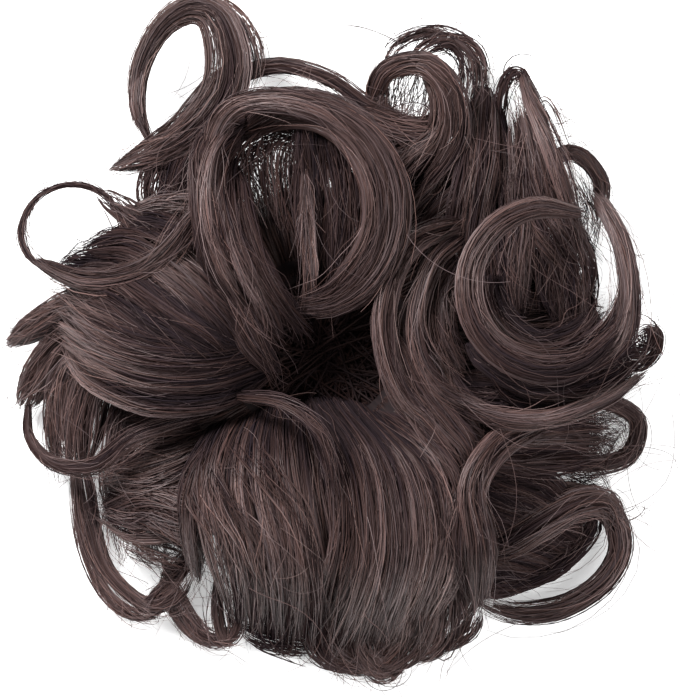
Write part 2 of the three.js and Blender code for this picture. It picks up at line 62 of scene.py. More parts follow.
# Sizes of the part's source, in mm
HAIR_RADIUS = 80.0
HAIR_HEIGHT = 46.0
LOCK_WIDTH = 10.0
LOCK_DEPTH = 6.0
HOLE_RADIUS = 13.0
CORD_THICKNESS = 7.0
WEFT_UNDER = 4.0
WEFT_OVER = 16.0
WEFT_AROUND = 17.5
WEFT_FOOT_INSET = 6.0
CLEARANCE = 0.3
RING_STATIONS = 9
ROOT_LEFT, ROOT_OVER = 0.55, 0.1
TIP_LEFT, TIP_OVER = 0.22, 0.22

# Hair
SAMPLES = 65  # points worked out along each lock's middle line
STRANDS_PER_MM = 42.0  # over a lock's width
TURN_PER_POINT = 12.5  # how far a strand bends from point to point, in degrees
FEWEST_POINTS, MOST_POINTS = 9, 26  # along a strand
STRAND_HALF = 0.13  # half an ordinary strand's width, mm
STRAND_SLOPE = 42.0  # how far a strand's shading turns to each side, in degrees
ROOTS_WITHIN = 27.0  # locks that begin this near the hole's middle go on down into it, mm
LEAST_HEIGHT = 0.25  # no strand comes nearer to the plane that the hairpiece lies on, mm
FLYAWAYS_PER_ROW = 12
WRAPS, CROSSING, HANGING = 1300, 1500, 700  # strands round the wefts, across the hole and hanging
LONE_OVER, LONE_ROUND = 190, 300  # lone strands over the tufts and round their outline
NO_TRIANGLES = np.empty((0, 3), dtype=int)
UP = [0.0, 0.0, 1.0]
STRAY = 7.0  # how far loose strands may pass the solids' box, mm
SOFT = 6.0  # strands are held back from this far inside that limit, mm
CLUMP_FLATNESS = 0.5  # a clump's height, as a share of its width
LOOSE_SWAY = 4.0  # how many times further loose strands sway than others


def lock(x, y, z, wide, deep=1, **ring):
    """A row of the tables. x, y: its stations seen from above, as shares of HAIR_RADIUS, or a ring's
    centre, with r, start, turn, flat and lean. z: height, as shares of HAIR_HEIGHT. wide, deep: as
    shares of LOCK_WIDTH and LOCK_DEPTH. One number in a list's place holds all along."""
    return dict(x=x, y=y, z=z, wide=wide, deep=deep, **ring)


def extra(style, x, y, z, wide, deep=1, **own):
    """A row that only the scene has, with its style and what differs from that style."""
    return dict(lock(x, y, z, wide, deep), style=style | own)


# The rows of the source's lock table
TUFTS = {
    "top_roll": [
        lock(-0.07, 0.41, [0.7, 0.95, 0.98, 0.9, 0.72], [0.9, 1.1, 1.2, 1.1, 0.8], r=[0.295, 0.285],
            start=128, turn=-222, flat=0.88, lean=90),
        lock([-0.24, -0.08, 0.1, 0.22], [0.715, 0.745, 0.665, 0.515], [0.6, 0.8, 0.86, 0.76],
            [0.5, 0.65, 0.75, 0.5]),
        lock([-0.22, -0.33, -0.33, -0.3, -0.21], [0.68, 0.6, 0.46, 0.28, 0.08],
            [0.72, 0.84, 0.95, 0.95, 0.7], [0.6, 0.7, 0.9, 1, 0.7]),
        lock([-0.27, -0.25, -0.18, -0.06], [0.53, 0.37, 0.2, 0.04], [0.72, 0.92, 0.92, 0.66],
            [0.7, 0.8, 0.9, 0.6]),
        lock([-0.3, -0.26, -0.2, -0.12], [0.3, 0.16, 0.03, -0.08], [0.8, 0.82, 0.78, 0.6],
            [0.7, 0.8, 0.8, 0.5], 0.9),
        lock([-0.05, -0.03, -0.03, -0.02], [0.68, 0.54, 0.36, 0.15], [0.9, 0.76, 0.7, 0.68],
            [0.7, 0.7, 0.6, 0.5], 0.8),
        lock([0.02, 0.05, 0.07, 0.04], [0.67, 0.55, 0.38, 0.16], [0.92, 0.8, 0.76, 0.72],
            [0.8, 0.9, 0.9, 0.7]),
    ],
    "right_swirl": [
        lock(0.665, 0.185, [0.66, 0.9, 0.96, 0.84, 0.62], [0.6, 0.8, 0.9, 0.9, 0.7], r=[0.235, 0.24],
            start=68, turn=262),
        lock(0.665, 0.185, [0.66, 0.6, 0.5, 0.45], [0.8, 0.9, 0.7, 0.5], r=[0.2, 0.235], start=262,
            turn=158),
        lock(0.66, 0.18, [0.78, 0.72, 0.6, 0.5], [0.6, 0.8, 0.9, 0.7], 0.9, r=0.165, start=165, turn=178),
        lock(0.65, 0.18, [0.76, 0.76, 0.62, 0.46], [0.6, 0.9, 0.9, 0.6], r=[0.27, 0.275], start=216,
            turn=96),
    ],
    "right_crescent": [
        lock([0.42, 0.26, 0.19, 0.25, 0.43], [0.38, 0.3, 0.08, -0.14, -0.27], [0.62, 0.8, 0.84, 0.78, 0.62],
            [0.7, 0.9, 1, 0.9, 0.6]),
        lock([0.42, 0.32, 0.27, 0.33, 0.47], [0.34, 0.25, 0.06, -0.1, -0.19], [0.6, 0.74, 0.78, 0.76, 0.72],
            [0.6, 0.8, 0.8, 0.8, 0.7]),
        lock([0.36, 0.5, 0.65, 0.82, 0.96], [-0.12, -0.18, -0.19, -0.14, -0.07],
            [0.72, 0.78, 0.74, 0.56, 0.36], [0.7, 0.9, 0.9, 0.6, 0.3], 0.9),
        lock([0.4, 0.34, 0.34, 0.42], [0.27, 0.17, 0.04, -0.08], [0.6, 0.66, 0.68, 0.62], [0.8, 1, 1, 0.8]),
    ],
    "s_lock": [
        lock([0.66, 0.52, 0.44, 0.465, 0.46], [-0.21, -0.27, -0.4, -0.58, -0.78],
            [0.52, 0.72, 0.84, 0.72, 0.3], [0.6, 0.8, 0.9, 1, 0.7], 0.9),
        lock([0.5, 0.42, 0.39, 0.42], [-0.29, -0.4, -0.56, -0.75], [0.62, 0.78, 0.72, 0.35],
            [0.5, 0.8, 0.9, 0.7], 0.8),
    ],
    "cleft_lock": [
        lock([-0.26, -0.11, 0, 0.05], [-0.135, -0.155, -0.25, -0.42], [0.72, 0.98, 1.04, 0.94],
            [0.4, 0.5, 0.5, 0.3], 0.5),
    ],
    "bottom_fan_right": [
        lock([-0.02, 0.06, 0.1, 0.08], [-0.16, -0.33, -0.6, -0.88], [0.5, 0.84, 0.72, 0.16],
            [0.8, 1.2, 1.4, 1.2]),
        lock([0.05, 0.15, 0.19, 0.17], [-0.16, -0.33, -0.6, -0.89], [0.5, 0.88, 0.76, 0.14],
            [0.8, 1.2, 1.4, 1.2]),
        lock([0.11, 0.23, 0.27, 0.24], [-0.17, -0.35, -0.6, -0.88], [0.5, 0.86, 0.72, 0.16],
            [0.8, 1.2, 1.4, 1.2]),
        lock([0.16, 0.31, 0.35, 0.31], [-0.19, -0.36, -0.58, -0.86], [0.5, 0.78, 0.66, 0.14],
            [0.8, 1.2, 1.3, 1.1]),
    ],
    "bottom_fan_left": [
        lock([-0.08, -0.08, -0.08, -0.1], [-0.16, -0.34, -0.6, -0.86], [0.5, 0.78, 0.72, 0.14],
            [0.8, 1.1, 1.4, 1.2]),
        lock([-0.15, -0.18, -0.18, -0.19], [-0.18, -0.36, -0.6, -0.84], [0.5, 0.84, 0.72, 0.16],
            [0.8, 1.2, 1.4, 1.1]),
        lock([-0.22, -0.28, -0.28, -0.27], [-0.2, -0.38, -0.58, -0.82], [0.5, 0.8, 0.66, 0.14],
            [0.8, 1.2, 1.3, 0.9]),
        lock([-0.26, -0.36, -0.38, -0.36], [-0.2, -0.38, -0.54, -0.7], [0.5, 0.74, 0.6, 0.2],
            [0.8, 1.1, 1.1, 0.7]),
        lock([-0.02, 0, 0, 0], [-0.18, -0.36, -0.6, -0.86], [0.46, 0.66, 0.6, 0.12], [0.8, 1, 1.3, 1.2]),
    ],
    "left_fan": [
        lock([-0.16, -0.32, -0.5, -0.66, -0.76], [-0.06, -0.115, -0.12, -0.06, 0.02],
            [0.52, 0.74, 0.78, 0.6, 0.36], [0.7, 1.1, 1.2, 1, 0.6]),
        lock([-0.17, -0.32, -0.5, -0.66, -0.78], [-0.01, -0.045, -0.045, 0.01, 0.09],
            [0.52, 0.84, 0.88, 0.68, 0.4], [0.7, 1.1, 1.2, 1, 0.6]),
        lock([-0.2, -0.34, -0.5, -0.64, -0.76], [0.04, 0.02, 0.03, 0.08, 0.15],
            [0.52, 0.84, 0.86, 0.66, 0.4], [0.7, 1.1, 1.2, 1, 0.6]),
        lock([-0.24, -0.36, -0.5, -0.62, -0.74], [0.09, 0.08, 0.11, 0.16, 0.19],
            [0.52, 0.76, 0.78, 0.6, 0.4], [0.7, 1.1, 1.1, 0.9, 0.5]),
        lock([-0.26, -0.36, -0.46, -0.58], [0.14, 0.16, 0.2, 0.26], [0.5, 0.7, 0.7, 0.5],
            [0.7, 1.1, 1.1, 0.7]),
        lock([-0.27, -0.38, -0.5, -0.68], [0.2, 0.25, 0.29, 0.28], [0.46, 0.6, 0.58, 0.36],
            [0.8, 1.2, 1.3, 0.7], 1.1),
    ],
    "left_loop": [
        lock(-0.735, 0.35, [0.5, 0.4, 0.3, 0.36, 0.5], [0.25, 0.2, 0.2, 0.25, 0.3], 0.35, r=0.15, start=18,
            turn=222, flat=0.92),
        lock([-0.84, -0.7, -0.56, -0.4], [0.26, 0.205, 0.225, 0.33], [0.46, 0.58, 0.72, 0.7],
            [0.3, 0.5, 0.5, 0.3], 0.4),
        lock([-0.61, -0.52, -0.42, -0.33], [0.4, 0.41, 0.43, 0.44], [0.48, 0.5, 0.52, 0.56],
            [0.3, 0.3, 0.35, 0.35], 0.4),
    ],
    "left_tips": [
        lock([-0.6, -0.77, -0.93], [0.17, 0.11, 0.02], [0.4, 0.36, 0.14], [0.9, 1.1, 0.6]),
        lock([-0.62, -0.78, -0.89], [0.09, 0, -0.17], [0.38, 0.3, 0.1], [0.9, 1.1, 1]),
    ],
    "tall_loop": [
        lock(-0.405, 0.8, [0.42, 0.28, 0.3, 0.42, 0.6], [0.35, 0.4, 0.55, 0.8, 1], 0.8, r=0.215, start=230,
            turn=-290, flat=0.62, lean=72),
        lock([-0.26, -0.36, -0.47, -0.62], [0.82, 0.67, 0.59, 0.535], [0.52, 0.56, 0.46, 0.28],
            [0.9, 1.1, 0.9, 0.3], 0.8),
        lock([-0.28, -0.37, -0.42, -0.36], [0.72, 0.58, 0.42, 0.24], [0.46, 0.5, 0.44, 0.36],
            [0.8, 1, 1.1, 0.9], 0.9),
    ],
    "top_arc": [
        lock([-0.28, -0.13, 0.02, 0.15, 0.32], [0.8, 0.832, 0.79, 0.705, 0.65],
            [0.3, 0.4, 0.46, 0.44, 0.38], [0.4, 0.5, 0.5, 0.5, 0.4], 0.7),
    ],
    "right_fall": [
        lock([0.48, 0.46, 0.43, 0.4], [0.76, 0.58, 0.4, 0.2], [0.26, 0.52, 0.6, 0.46], [0.6, 1, 1, 0.8]),
        lock([0.51, 0.49, 0.38, 0.25], [0.68, 0.5, 0.37, 0.26], [0.32, 0.48, 0.52, 0.5], [0.6, 1, 1, 0.7]),
        lock([0.44, 0.39, 0.3, 0.2], [0.62, 0.48, 0.38, 0.28], [0.32, 0.42, 0.44, 0.44], [0.7, 1.3, 1.3, 1]),
    ],
    "top_curl": [
        lock([0.14, 0.19, 0.3, 0.385, 0.385, 0.27], [0.72, 0.82, 0.84, 0.75, 0.6, 0.44],
            [0.4, 0.5, 0.6, 0.6, 0.56, 0.5], [0.6, 0.7, 0.8, 0.8, 0.9, 0.8]),
        lock([0.31, 0.35, 0.34, 0.26, 0.18], [0.83, 0.74, 0.64, 0.56, 0.48], [0.52, 0.54, 0.52, 0.5, 0.44],
            [0.6, 0.7, 0.8, 0.8, 0.7], 0.9),
        lock([0.18, 0.17, 0.22, 0.33], [0.8, 0.7, 0.62, 0.57], [0.44, 0.4, 0.42, 0.46],
            [0.5, 0.8, 0.8, 0.6], 0.9),
    ],
    "top_thin_loop": [
        lock([0.26, 0.33, 0.43, 0.465, 0.42], [0.86, 0.91, 0.895, 0.81, 0.66],
            [0.4, 0.34, 0.26, 0.22, 0.26], 0.3, 0.4),
    ],
    "right_peak": [
        lock([0.6, 0.65, 0.7, 0.77], [0.81, 0.65, 0.51, 0.3], [0.22, 0.5, 0.56, 0.4], [0.4, 0.8, 0.8, 0.6]),
        lock([0.58, 0.61, 0.645, 0.7], [0.8, 0.64, 0.48, 0.26], [0.22, 0.46, 0.54, 0.4],
            [0.4, 0.8, 0.9, 0.9]),
        lock([0.555, 0.58, 0.59, 0.585], [0.78, 0.62, 0.45, 0.14], [0.2, 0.4, 0.5, 0.42],
            [0.4, 0.8, 0.9, 0.9]),
        lock([0.505, 0.53, 0.535, 0.5], [0.74, 0.6, 0.42, 0.2], [0.2, 0.38, 0.46, 0.42],
            [0.5, 0.8, 0.9, 0.8]),
    ],
    "right_under": [
        lock([0.36, 0.5, 0.66, 0.84], [0.14, 0.07, 0.06, 0.1], [0.4, 0.34, 0.28, 0.2], [1.2, 2, 2.2, 1.4]),
        lock([0.38, 0.52, 0.66, 0.78], [0.22, 0.21, 0.21, 0.24], [0.36, 0.3, 0.26, 0.22],
            [1.2, 1.6, 1.6, 0.9]),
        lock([0.36, 0.55, 0.76, 0.93], [-0.02, -0.07, -0.06, -0.02], [0.4, 0.4, 0.34, 0.2],
            [1.2, 1.6, 1.6, 0.9]),
    ],
    "right_upper_loop": [
        lock([0.64, 0.74, 0.82, 0.82], [0.54, 0.58, 0.5, 0.38], [0.4, 0.4, 0.28, 0.28],
            [0.4, 0.4, 0.4, 0.35], 0.7),
    ],
    "right_middle": [
        lock([0.34, 0.5, 0.66, 0.84], [-0.25, -0.25, -0.23, -0.22], [0.46, 0.54, 0.48, 0.3],
            [0.8, 1, 1, 0.6]),
        lock([0.38, 0.54, 0.7, 0.82], [-0.28, -0.31, -0.3, -0.3], [0.42, 0.46, 0.4, 0.26],
            [0.8, 1.1, 1.1, 0.6]),
    ],
    "right_lower_loop": [
        lock([0.66, 0.8, 0.93, 0.91, 0.79, 0.68], [-0.24, -0.15, -0.2, -0.31, -0.345, -0.33],
            [0.36, 0.3, 0.16, 0.14, 0.2, 0.26], 0.4, 0.7),
    ],
    "bottom_right_loop": [
        lock(0.64, -0.6, [0.36, 0.26, 0.16, 0.14, 0.2], [0.7, 0.75, 0.75, 0.75, 0.75], 0.8, r=0.24,
            start=122, turn=-256, flat=0.7, lean=15),
    ],
    "bottom_right_fan": [
        lock([0.38, 0.52, 0.64, 0.76], [-0.32, -0.38, -0.42, -0.5], [0.36, 0.42, 0.38, 0.22],
            [1, 1.3, 1.2, 0.7]),
        lock([0.38, 0.5, 0.62, 0.74], [-0.4, -0.47, -0.51, -0.57], [0.36, 0.42, 0.34, 0.18],
            [1, 1.4, 1.3, 0.7]),
        lock([0.38, 0.48, 0.58, 0.68], [-0.48, -0.57, -0.6, -0.63], [0.34, 0.38, 0.3, 0.14],
            [1, 1.4, 1.2, 0.7]),
        lock([0.38, 0.46, 0.54, 0.62], [-0.54, -0.64, -0.66, -0.67], [0.32, 0.34, 0.26, 0.14],
            [0.9, 1.2, 1, 0.6]),
    ],
    "left_low_loop": [
        lock([-0.87, -0.865, -0.79, -0.67, -0.55, -0.36], [-0.16, -0.26, -0.335, -0.34, -0.25, -0.2],
            [0.14, 0.2, 0.36, 0.54, 0.64, 0.6], [0.2, 0.2, 0.3, 0.4, 0.4, 0.3], 0.4),
    ],
    "left_low_tuft": [
        lock([-0.62, -0.73, -0.77, -0.77], [0, -0.06, -0.18, -0.36], [0.3, 0.32, 0.26, 0.14],
            [0.8, 1, 1, 0.7], 0.9),
        lock([-0.56, -0.66, -0.7, -0.71], [-0.04, -0.08, -0.2, -0.37], [0.34, 0.35, 0.29, 0.16],
            [0.8, 1, 1, 0.7], 0.9),
    ],
    "left_nest": [
        lock([-0.24, -0.4, -0.54, -0.64], [-0.26, -0.36, -0.4, -0.38], [0.4, 0.46, 0.42, 0.28],
            [1, 1.1, 1, 0.7]),
        lock([-0.26, -0.41, -0.54, -0.66], [-0.38, -0.46, -0.49, -0.45], [0.36, 0.42, 0.38, 0.24],
            [1, 1.2, 1.1, 0.7]),
        lock([-0.22, -0.4, -0.52, -0.62], [-0.16, -0.25, -0.29, -0.35], [0.44, 0.46, 0.42, 0.3],
            [1, 1.2, 1, 0.7]),
        lock([-0.54, -0.59, -0.61, -0.6], [-0.08, -0.22, -0.38, -0.54], [0.36, 0.32, 0.28, 0.16],
            [0.7, 0.8, 0.8, 0.6], 0.9),
    ],
    "bottom_left_loop": [
        lock([-0.72, -0.7, -0.65, -0.53, -0.43, -0.36], [-0.34, -0.5, -0.66, -0.765, -0.73, -0.6],
            [0.22, 0.16, 0.12, 0.12, 0.2, 0.3], [0.8, 0.8, 0.7, 0.5, 0.5, 0.4], 0.8),
    ],
    "bottom_left_arc": [
        lock([-0.33, -0.46, -0.42, -0.34, -0.24], [-0.54, -0.68, -0.8, -0.865, -0.865],
            [0.28, 0.14, 0.1, 0.1, 0.12], [0.4, 0.4, 0.35, 0.3, 0.3], 0.5),
    ],
    "bottom_curls": [
        lock([-0.03, 0.05, 0.13, 0.23], [-0.83, -0.925, -0.94, -0.86], [0.12, 0.08, 0.08, 0.12],
            [0.4, 0.4, 0.4, 0.3], 0.5),
    ],
}

# Rows that make one sheet of hair, in order across it. In the other tufts each row is its own.
SHEETS = {
    "top_roll": [[0], [1], [2, 3], [4], [5], [6]],
    "bottom_fan_right": [[0, 1, 2, 3]],
    "bottom_fan_left": [[2, 1, 0, 4], [3]],
    "left_fan": [[0, 1, 2, 3, 4, 5]],
    "right_peak": [[0], [1, 2], [3]],
    "right_under": [[1, 0, 2]],
    "right_middle": [[0, 1]],
    "bottom_right_fan": [[0, 1, 2, 3]],
    "left_nest": [[2, 0, 1], [3]],
    "left_low_tuft": [[0, 1]],
}

low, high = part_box("elastic_band")
ORIGIN = np.array([low.x + high.x, low.y + high.y, 0.0]) / 2 / MM  # the hole's middle, in mm
rng = np.random.default_rng(11)


def column(values, t):
    """What a column of a table says at shares t of a lock's length."""
    values = np.atleast_1d(values)
    return np.interp(t, np.linspace(0, 1, len(values)), values)


def unit(v):
    return v / np.maximum(np.linalg.norm(v, axis=-1, keepdims=True), 1e-9)


def stations(row):
    """The points that a lock's middle line runs through, in mm about the hole's middle."""
    ring = not isinstance(row["x"], list)
    t = np.linspace(0, 1, RING_STATIONS if ring else len(row["x"]))
    if ring:
        lean = math.radians(row.get("lean", 0))
        angle = np.radians(row["start"] + row["turn"] * t) - lean
        radius = column(row["r"], t)
        along = radius * np.cos(angle)
        across = radius * row.get("flat", 1) * np.sin(angle)
        x = row["x"] + along * math.cos(lean) - across * math.sin(lean)
        y = row["y"] + along * math.sin(lean) + across * math.cos(lean)
    else:
        x, y = np.array(row["x"]), np.array(row["y"])
    lowest = row["deep"] * LOCK_DEPTH / 2 + CLEARANCE
    z = np.maximum(lowest, HAIR_HEIGHT * column(row["z"], t))
    return np.stack([HAIR_RADIUS * x, HAIR_RADIUS * y, z], axis=1)


def curve(points, t):
    """A Catmull-Rom curve through the points, at shares t of its length."""
    before = 2 * points[:1] - points[1:2]
    after = 2 * points[-1:] - points[-2:-1]
    p = np.concatenate([before, points, after])
    at = np.clip(t, 0, 1) * (len(points) - 1)
    i = np.minimum(at.astype(int), len(points) - 2)
    w = (at - i)[:, None]
    start, end = (p[i + 2] - p[i]) / 2, (p[i + 3] - p[i + 1]) / 2
    return (
        (2 * w**3 - 3 * w**2 + 1) * p[i + 1]
        + (w**3 - 2 * w**2 + w) * start
        + (3 * w**2 - 2 * w**3) * p[i + 2]
        + (w**3 - w**2) * end
    )


def taper(t):
    root = np.minimum(1, t / ROOT_OVER)
    tip = np.minimum(1, (1 - t) / TIP_OVER)
    return (ROOT_LEFT + (1 - ROOT_LEFT) * root) * (TIP_LEFT + (1 - TIP_LEFT) * np.sqrt(tip))


def sheet_of(rows, style):
    """Middle lines, side and lift directions, half widths and depths of the rows of a sheet."""
    t = np.linspace(0, 1, SAMPLES)
    middle = np.stack([curve(stations(row), t) for row in rows])
    tangent = unit(np.gradient(middle, axis=1))
    side = unit(np.cross(UP, tangent))
    middle = middle + side * column(style["shift"], t)[:, None]
    lift = np.cross(tangent, side)
    narrow = taper(t)
    drawn = narrow * column(style["narrow"], t)
    wide = np.stack([LOCK_WIDTH * column(row["wide"], t) * drawn / 2 for row in rows])
    deep = np.stack([LOCK_DEPTH * row["deep"] * np.sqrt(narrow) / 2 for row in rows])
    return {"middle": middle, "side": side, "lift": lift, "wide": wide, "deep": deep}


def looked_up(values, across, t):
    """values[row, sample] between rows and between samples. Beyond the ends it stays as it is."""
    rows = len(values)
    q = np.clip(across, 0, rows - 1)
    row = np.minimum(q.astype(int), max(rows - 2, 0))
    next_row = np.minimum(row + 1, rows - 1)
    at = np.clip(t, 0, 1) * (SAMPLES - 1)
    i = np.minimum(at.astype(int), SAMPLES - 2)
    f, g = at - i, q - row
    if values.ndim == 3:
        f, g = f[..., None], g[..., None]
    here = values[row, i] * (1 - f) + values[row, i + 1] * f
    there = values[next_row, i] * (1 - f) + values[next_row, i + 1] * f
    return here * (1 - g) + there * g


def placed(sheet, across, depth, t):
    """Points in a sheet: across it in rows, from -0.5 to rows - 0.5, depth from -1 to 1."""
    rows = len(sheet["middle"])
    over = 2 * (across - np.clip(across, 0, rows - 1))
    round_edge = np.sqrt(np.clip(1 - over**2, 0.03, 1))
    middle = looked_up(sheet["middle"], across, t)
    side = unit(looked_up(sheet["side"], across, t))
    lift = unit(looked_up(sheet["lift"], across, t))
    wide = looked_up(sheet["wide"], across, t)
    deep = looked_up(sheet["deep"], across, t)
    # The rows' order may run with or against their side direction.
    first, last = sheet["middle"][0], sheet["middle"][-1]
    against = np.sum((last - first) * sheet["side"][0]) < 0
    sign = -1.0 if rows > 1 and against else 1.0
    point = middle + side * (sign * over * wide)[..., None]
    point = point + lift * (depth * deep * round_edge)[..., None]
    beyond = np.where(t > 1, t - 1, np.where(t < 0, t, 0))
    pace = looked_up(np.gradient(sheet["middle"], 1 / (SAMPLES - 1), axis=1), across, t)
    return point + pace * beyond[..., None], side, lift


def turn_of(sheet):
    """How far a sheet's middle row turns along its length, in degrees."""
    line = sheet["middle"][len(sheet["middle"]) // 2]
    tangent = unit(np.diff(line, axis=0))
    bend = np.clip(np.sum(tangent[1:] * tangent[:-1], axis=1), -1, 1)
    return float(np.degrees(np.arccos(bend)).sum())


def strands_of(sheet, style):
    """The paths, half widths, outward directions and tones of a sheet's strands, in clumps."""
    rows = len(sheet["middle"])
    mean_wide = 2 * float(sheet["wide"].mean())
    spacing = np.linalg.norm(np.diff(sheet["middle"], axis=0), axis=2).mean() if rows > 1 else 0
    total_wide = mean_wide + spacing * (rows - 1)
    clumps = max(2, round(total_wide * style["clumps"]))
    count = max(style["least"], round(total_wide * STRANDS_PER_MM * style["density"]))
    points = int(np.clip(5 + turn_of(sheet) / TURN_PER_POINT, FEWEST_POINTS, MOST_POINTS))

    # Each clump keeps to its own place across the sheet and wanders a little.
    place = (np.arange(clumps) + rng.uniform(0.1, 0.9, clumps)) / clumps
    room = min(0.35, 0.5 * style["size"] / mean_wide)
    place = (place - 0.5) * (rows - 2 * room) + (rows - 1) / 2
    depth = rng.uniform(0.0, 0.7, clumps)
    size = rng.uniform(0.55, 1.25, clumps) * style["size"]
    sharp = rng.uniform(0.45, 0.95, clumps)
    ends = 1 - rng.uniform(-0.02, style["ragged"], clumps)

    of = rng.integers(0, clumps, count)
    free = rng.random(count) < style["free"]
    start = style["begin"] + rng.uniform(-0.01, style["root"], count)
    end = ends[of] * style["reach"] - rng.uniform(0, style["uneven"], count)
    s = np.linspace(0, 1, points)[None]
    t = start[:, None] + (end - start)[:, None] * s
    inside = np.clip(t, 0, 1)

    def wave(size, of_clump=False):
        n = clumps if of_clump else count
        pick = of if of_clump else slice(None)
        pace = rng.uniform(0.3, 1.1, n)[pick][:, None]
        phase = rng.uniform(0, 1, n)[pick][:, None]
        amount = rng.normal(0, 1, n)[pick][:, None] * size
        return amount * np.sin(2 * np.pi * (pace * t + phase)) * np.clip(0.2 + t, 0, 1)

    across = place[of][:, None] + wave(style["wander"], True)
    own = rng.uniform(-0.5, rows - 0.5, count)[:, None]
    drift = rng.normal(0, style["drift"], (count, 1)) * (inside - 0.3)
    across = np.where(free[:, None], own + drift + wave(0.06), across)
    across = np.clip(across, -0.5, rows - 0.5)
    height = depth[of][:, None] + wave(0.12, True)
    height = np.where(free[:, None], rng.uniform(0.55, 1.1, count)[:, None], height)
    path, side, lift = placed(sheet, across, height, t)

    # Round its clump's middle, drawing together towards the tip.
    away = np.sqrt(rng.uniform(0.02, 1, count))[:, None]
    twist = rng.normal(0, 0.7, clumps)[of][:, None]
    angle = rng.uniform(0, 2 * np.pi, count)[:, None] + twist * t
    closing = np.clip((inside - 0.45) / 0.55, 0, 1) ** 1.3
    swell = (0.6 + 0.4 * np.clip(inside / 0.2, 0, 1)) * (1 - sharp[of][:, None] * closing)
    swell = swell * size[of][:, None] * np.where(free[:, None], 0, 1)
    stray = np.where(rng.random(count) < style["loose"], LOOSE_SWAY, 1.0)[:, None]
    sway = away * swell * np.cos(angle) + wave(style["wave"]) * stray
    rise = CLUMP_FLATNESS * away * swell * np.sin(angle) + wave(0.1) * stray
    curl = rng.normal(0, style["curl"], clumps)[of][:, None] * np.clip((t - 0.7) / 0.3, 0, 2) ** 2
    tucked = style["tuck"] * np.clip(1 - inside / 0.16, 0, 1) ** 2
    hooked = style["hook"] * np.clip((t - 0.84) / 0.16, 0, 1.3)[..., None] ** 2
    ahead = unit(np.gradient(path, axis=1))
    path = path + side * (sway + curl)[..., None] + lift * rise[..., None]
    path = path - ahead * hooked - [0, 0, 0.9] * hooked
    path[..., 2] -= tucked
    outward = side * (np.cos(angle) * 0.5)[..., None] + lift * (0.6 + 0.7 * np.sin(angle))[..., None]

    half = STRAND_HALF * rng.uniform(0.7, 1.3, count)[:, None] * style["thick"]
    half = half * (0.3 + 0.7 * np.clip((1 - s) / style["point"], 0, 1))
    half = half * (1 - style["faint"] * np.clip(1 - s / 0.15, 0, 1))
    # The tone is the hair's own colour, varied at random, plus painted shade from the style's shade and
    # painted light and shade along and across the rows.
    tone = 0.5 + style["shade"] + rng.normal(0, 0.07, clumps)[of] + rng.normal(0, 0.03, count)
    tone = tone + np.where(rng.random(count) < 0.03, 0.15, 0.0)
    tone = tone[:, None] + column(style["light"], inside)
    tone = tone + column(style["across"], (across + 0.5) / rows)
    for _ in range(4):
        bands = rng.uniform(0.1, 0.28) * total_wide * (across + 0.5) / rows
        bends = rng.uniform(-0.8, 0.8) * t + rng.random()
        tone = tone + style["patchy"] * np.sin(2 * np.pi * (bands + bends))
    return path, half, outward, tone


def begun_earlier(values):
    """Values along strands with the first one three times more, for the points put before it."""
    return np.concatenate([values[:, :1].repeat(3, 1), values], axis=1)


def with_roots(path, half, outward, tone):
    """Strands that begin beside the hole go on down into it, against the band."""
    away = np.hypot(path[:, 0, 0], path[:, 0, 1])
    begin = unit(path[:, 0] * [1, 1, 0])
    deep = begin * (HOLE_RADIUS + 1.2 + rng.uniform(0, 3, len(path)))[:, None]
    deep[:, 2] = rng.uniform(4, 14, len(path))
    ahead = unit(path[:, 0] - path[:, 1])
    bend = path[:, 0] + ahead * (0.35 * np.linalg.norm(path[:, 0] - deep, axis=1))[:, None]
    w = np.array([0.0, 0.35, 0.7])[None, :, None]
    down = (1 - w) ** 2 * deep[:, None] + 2 * w * (1 - w) * bend[:, None] + w**2 * path[:, :1]
    near = away < ROOTS_WITHIN
    rest = (begun_earlier(values)[near] for values in (half, outward, tone))
    return near, np.concatenate([down, path], axis=1)[near], *rest


def turned_under(path, half, outward, tone):
    """Strands that begin at the outside come up from underneath and turn over there."""
    inward = unit(path[:, 0] * [-1, -1, 0])
    back = unit(path[:, 0] - path[:, 1]) * [1, 1, 0]
    sink = [(1.2, 1.2, 0.0), (1.0, 4.0, 0.5), (0.0, 7.0, 3.5)]
    amount = rng.uniform(0.2, 1.1, (len(path), 1))
    below = [path[:, 0] + amount * (back * a - [0, 0, b] + inward * c) for a, b, c in sink]
    path = np.concatenate([np.stack(below[::-1], axis=1), path], axis=1)
    thinning = np.concatenate([[0.3, 0.7, 1.0], np.ones(half.shape[1])])
    return path, begun_earlier(half) * thinning, begun_earlier(outward), begun_earlier(tone)


def kept_in(path, radius):
    """Strands lie above the plane and don't stray far beyond the solids' box."""
    path = path.copy()
    path[..., 2] = np.maximum(path[..., 2], LEAST_HEIGHT + radius)
    for axis in (0, 1):
        lowest = cad_box[0][axis] / MM - ORIGIN[axis] - STRAY
        highest = cad_box[1][axis] / MM - ORIGIN[axis] + STRAY
        value = path[..., axis]
        over = np.clip(value - highest + SOFT, 0, None)
        below = np.clip(lowest + SOFT - value, 0, None)
        path[..., axis] = value - over + SOFT * np.tanh(over / SOFT) + below - SOFT * np.tanh(below / SOFT)
    return path


def part_of(verts, quads, tone, along, tris=NO_TRIANGLES):
    """A part of a mesh: its points, its faces and what tone and along say at each point."""
    points = {"verts": verts.reshape(-1, 3), "tone": np.ravel(tone), "along": np.ravel(along)}
    return points | {"quads": quads.reshape(-1, 4), "tris": tris}


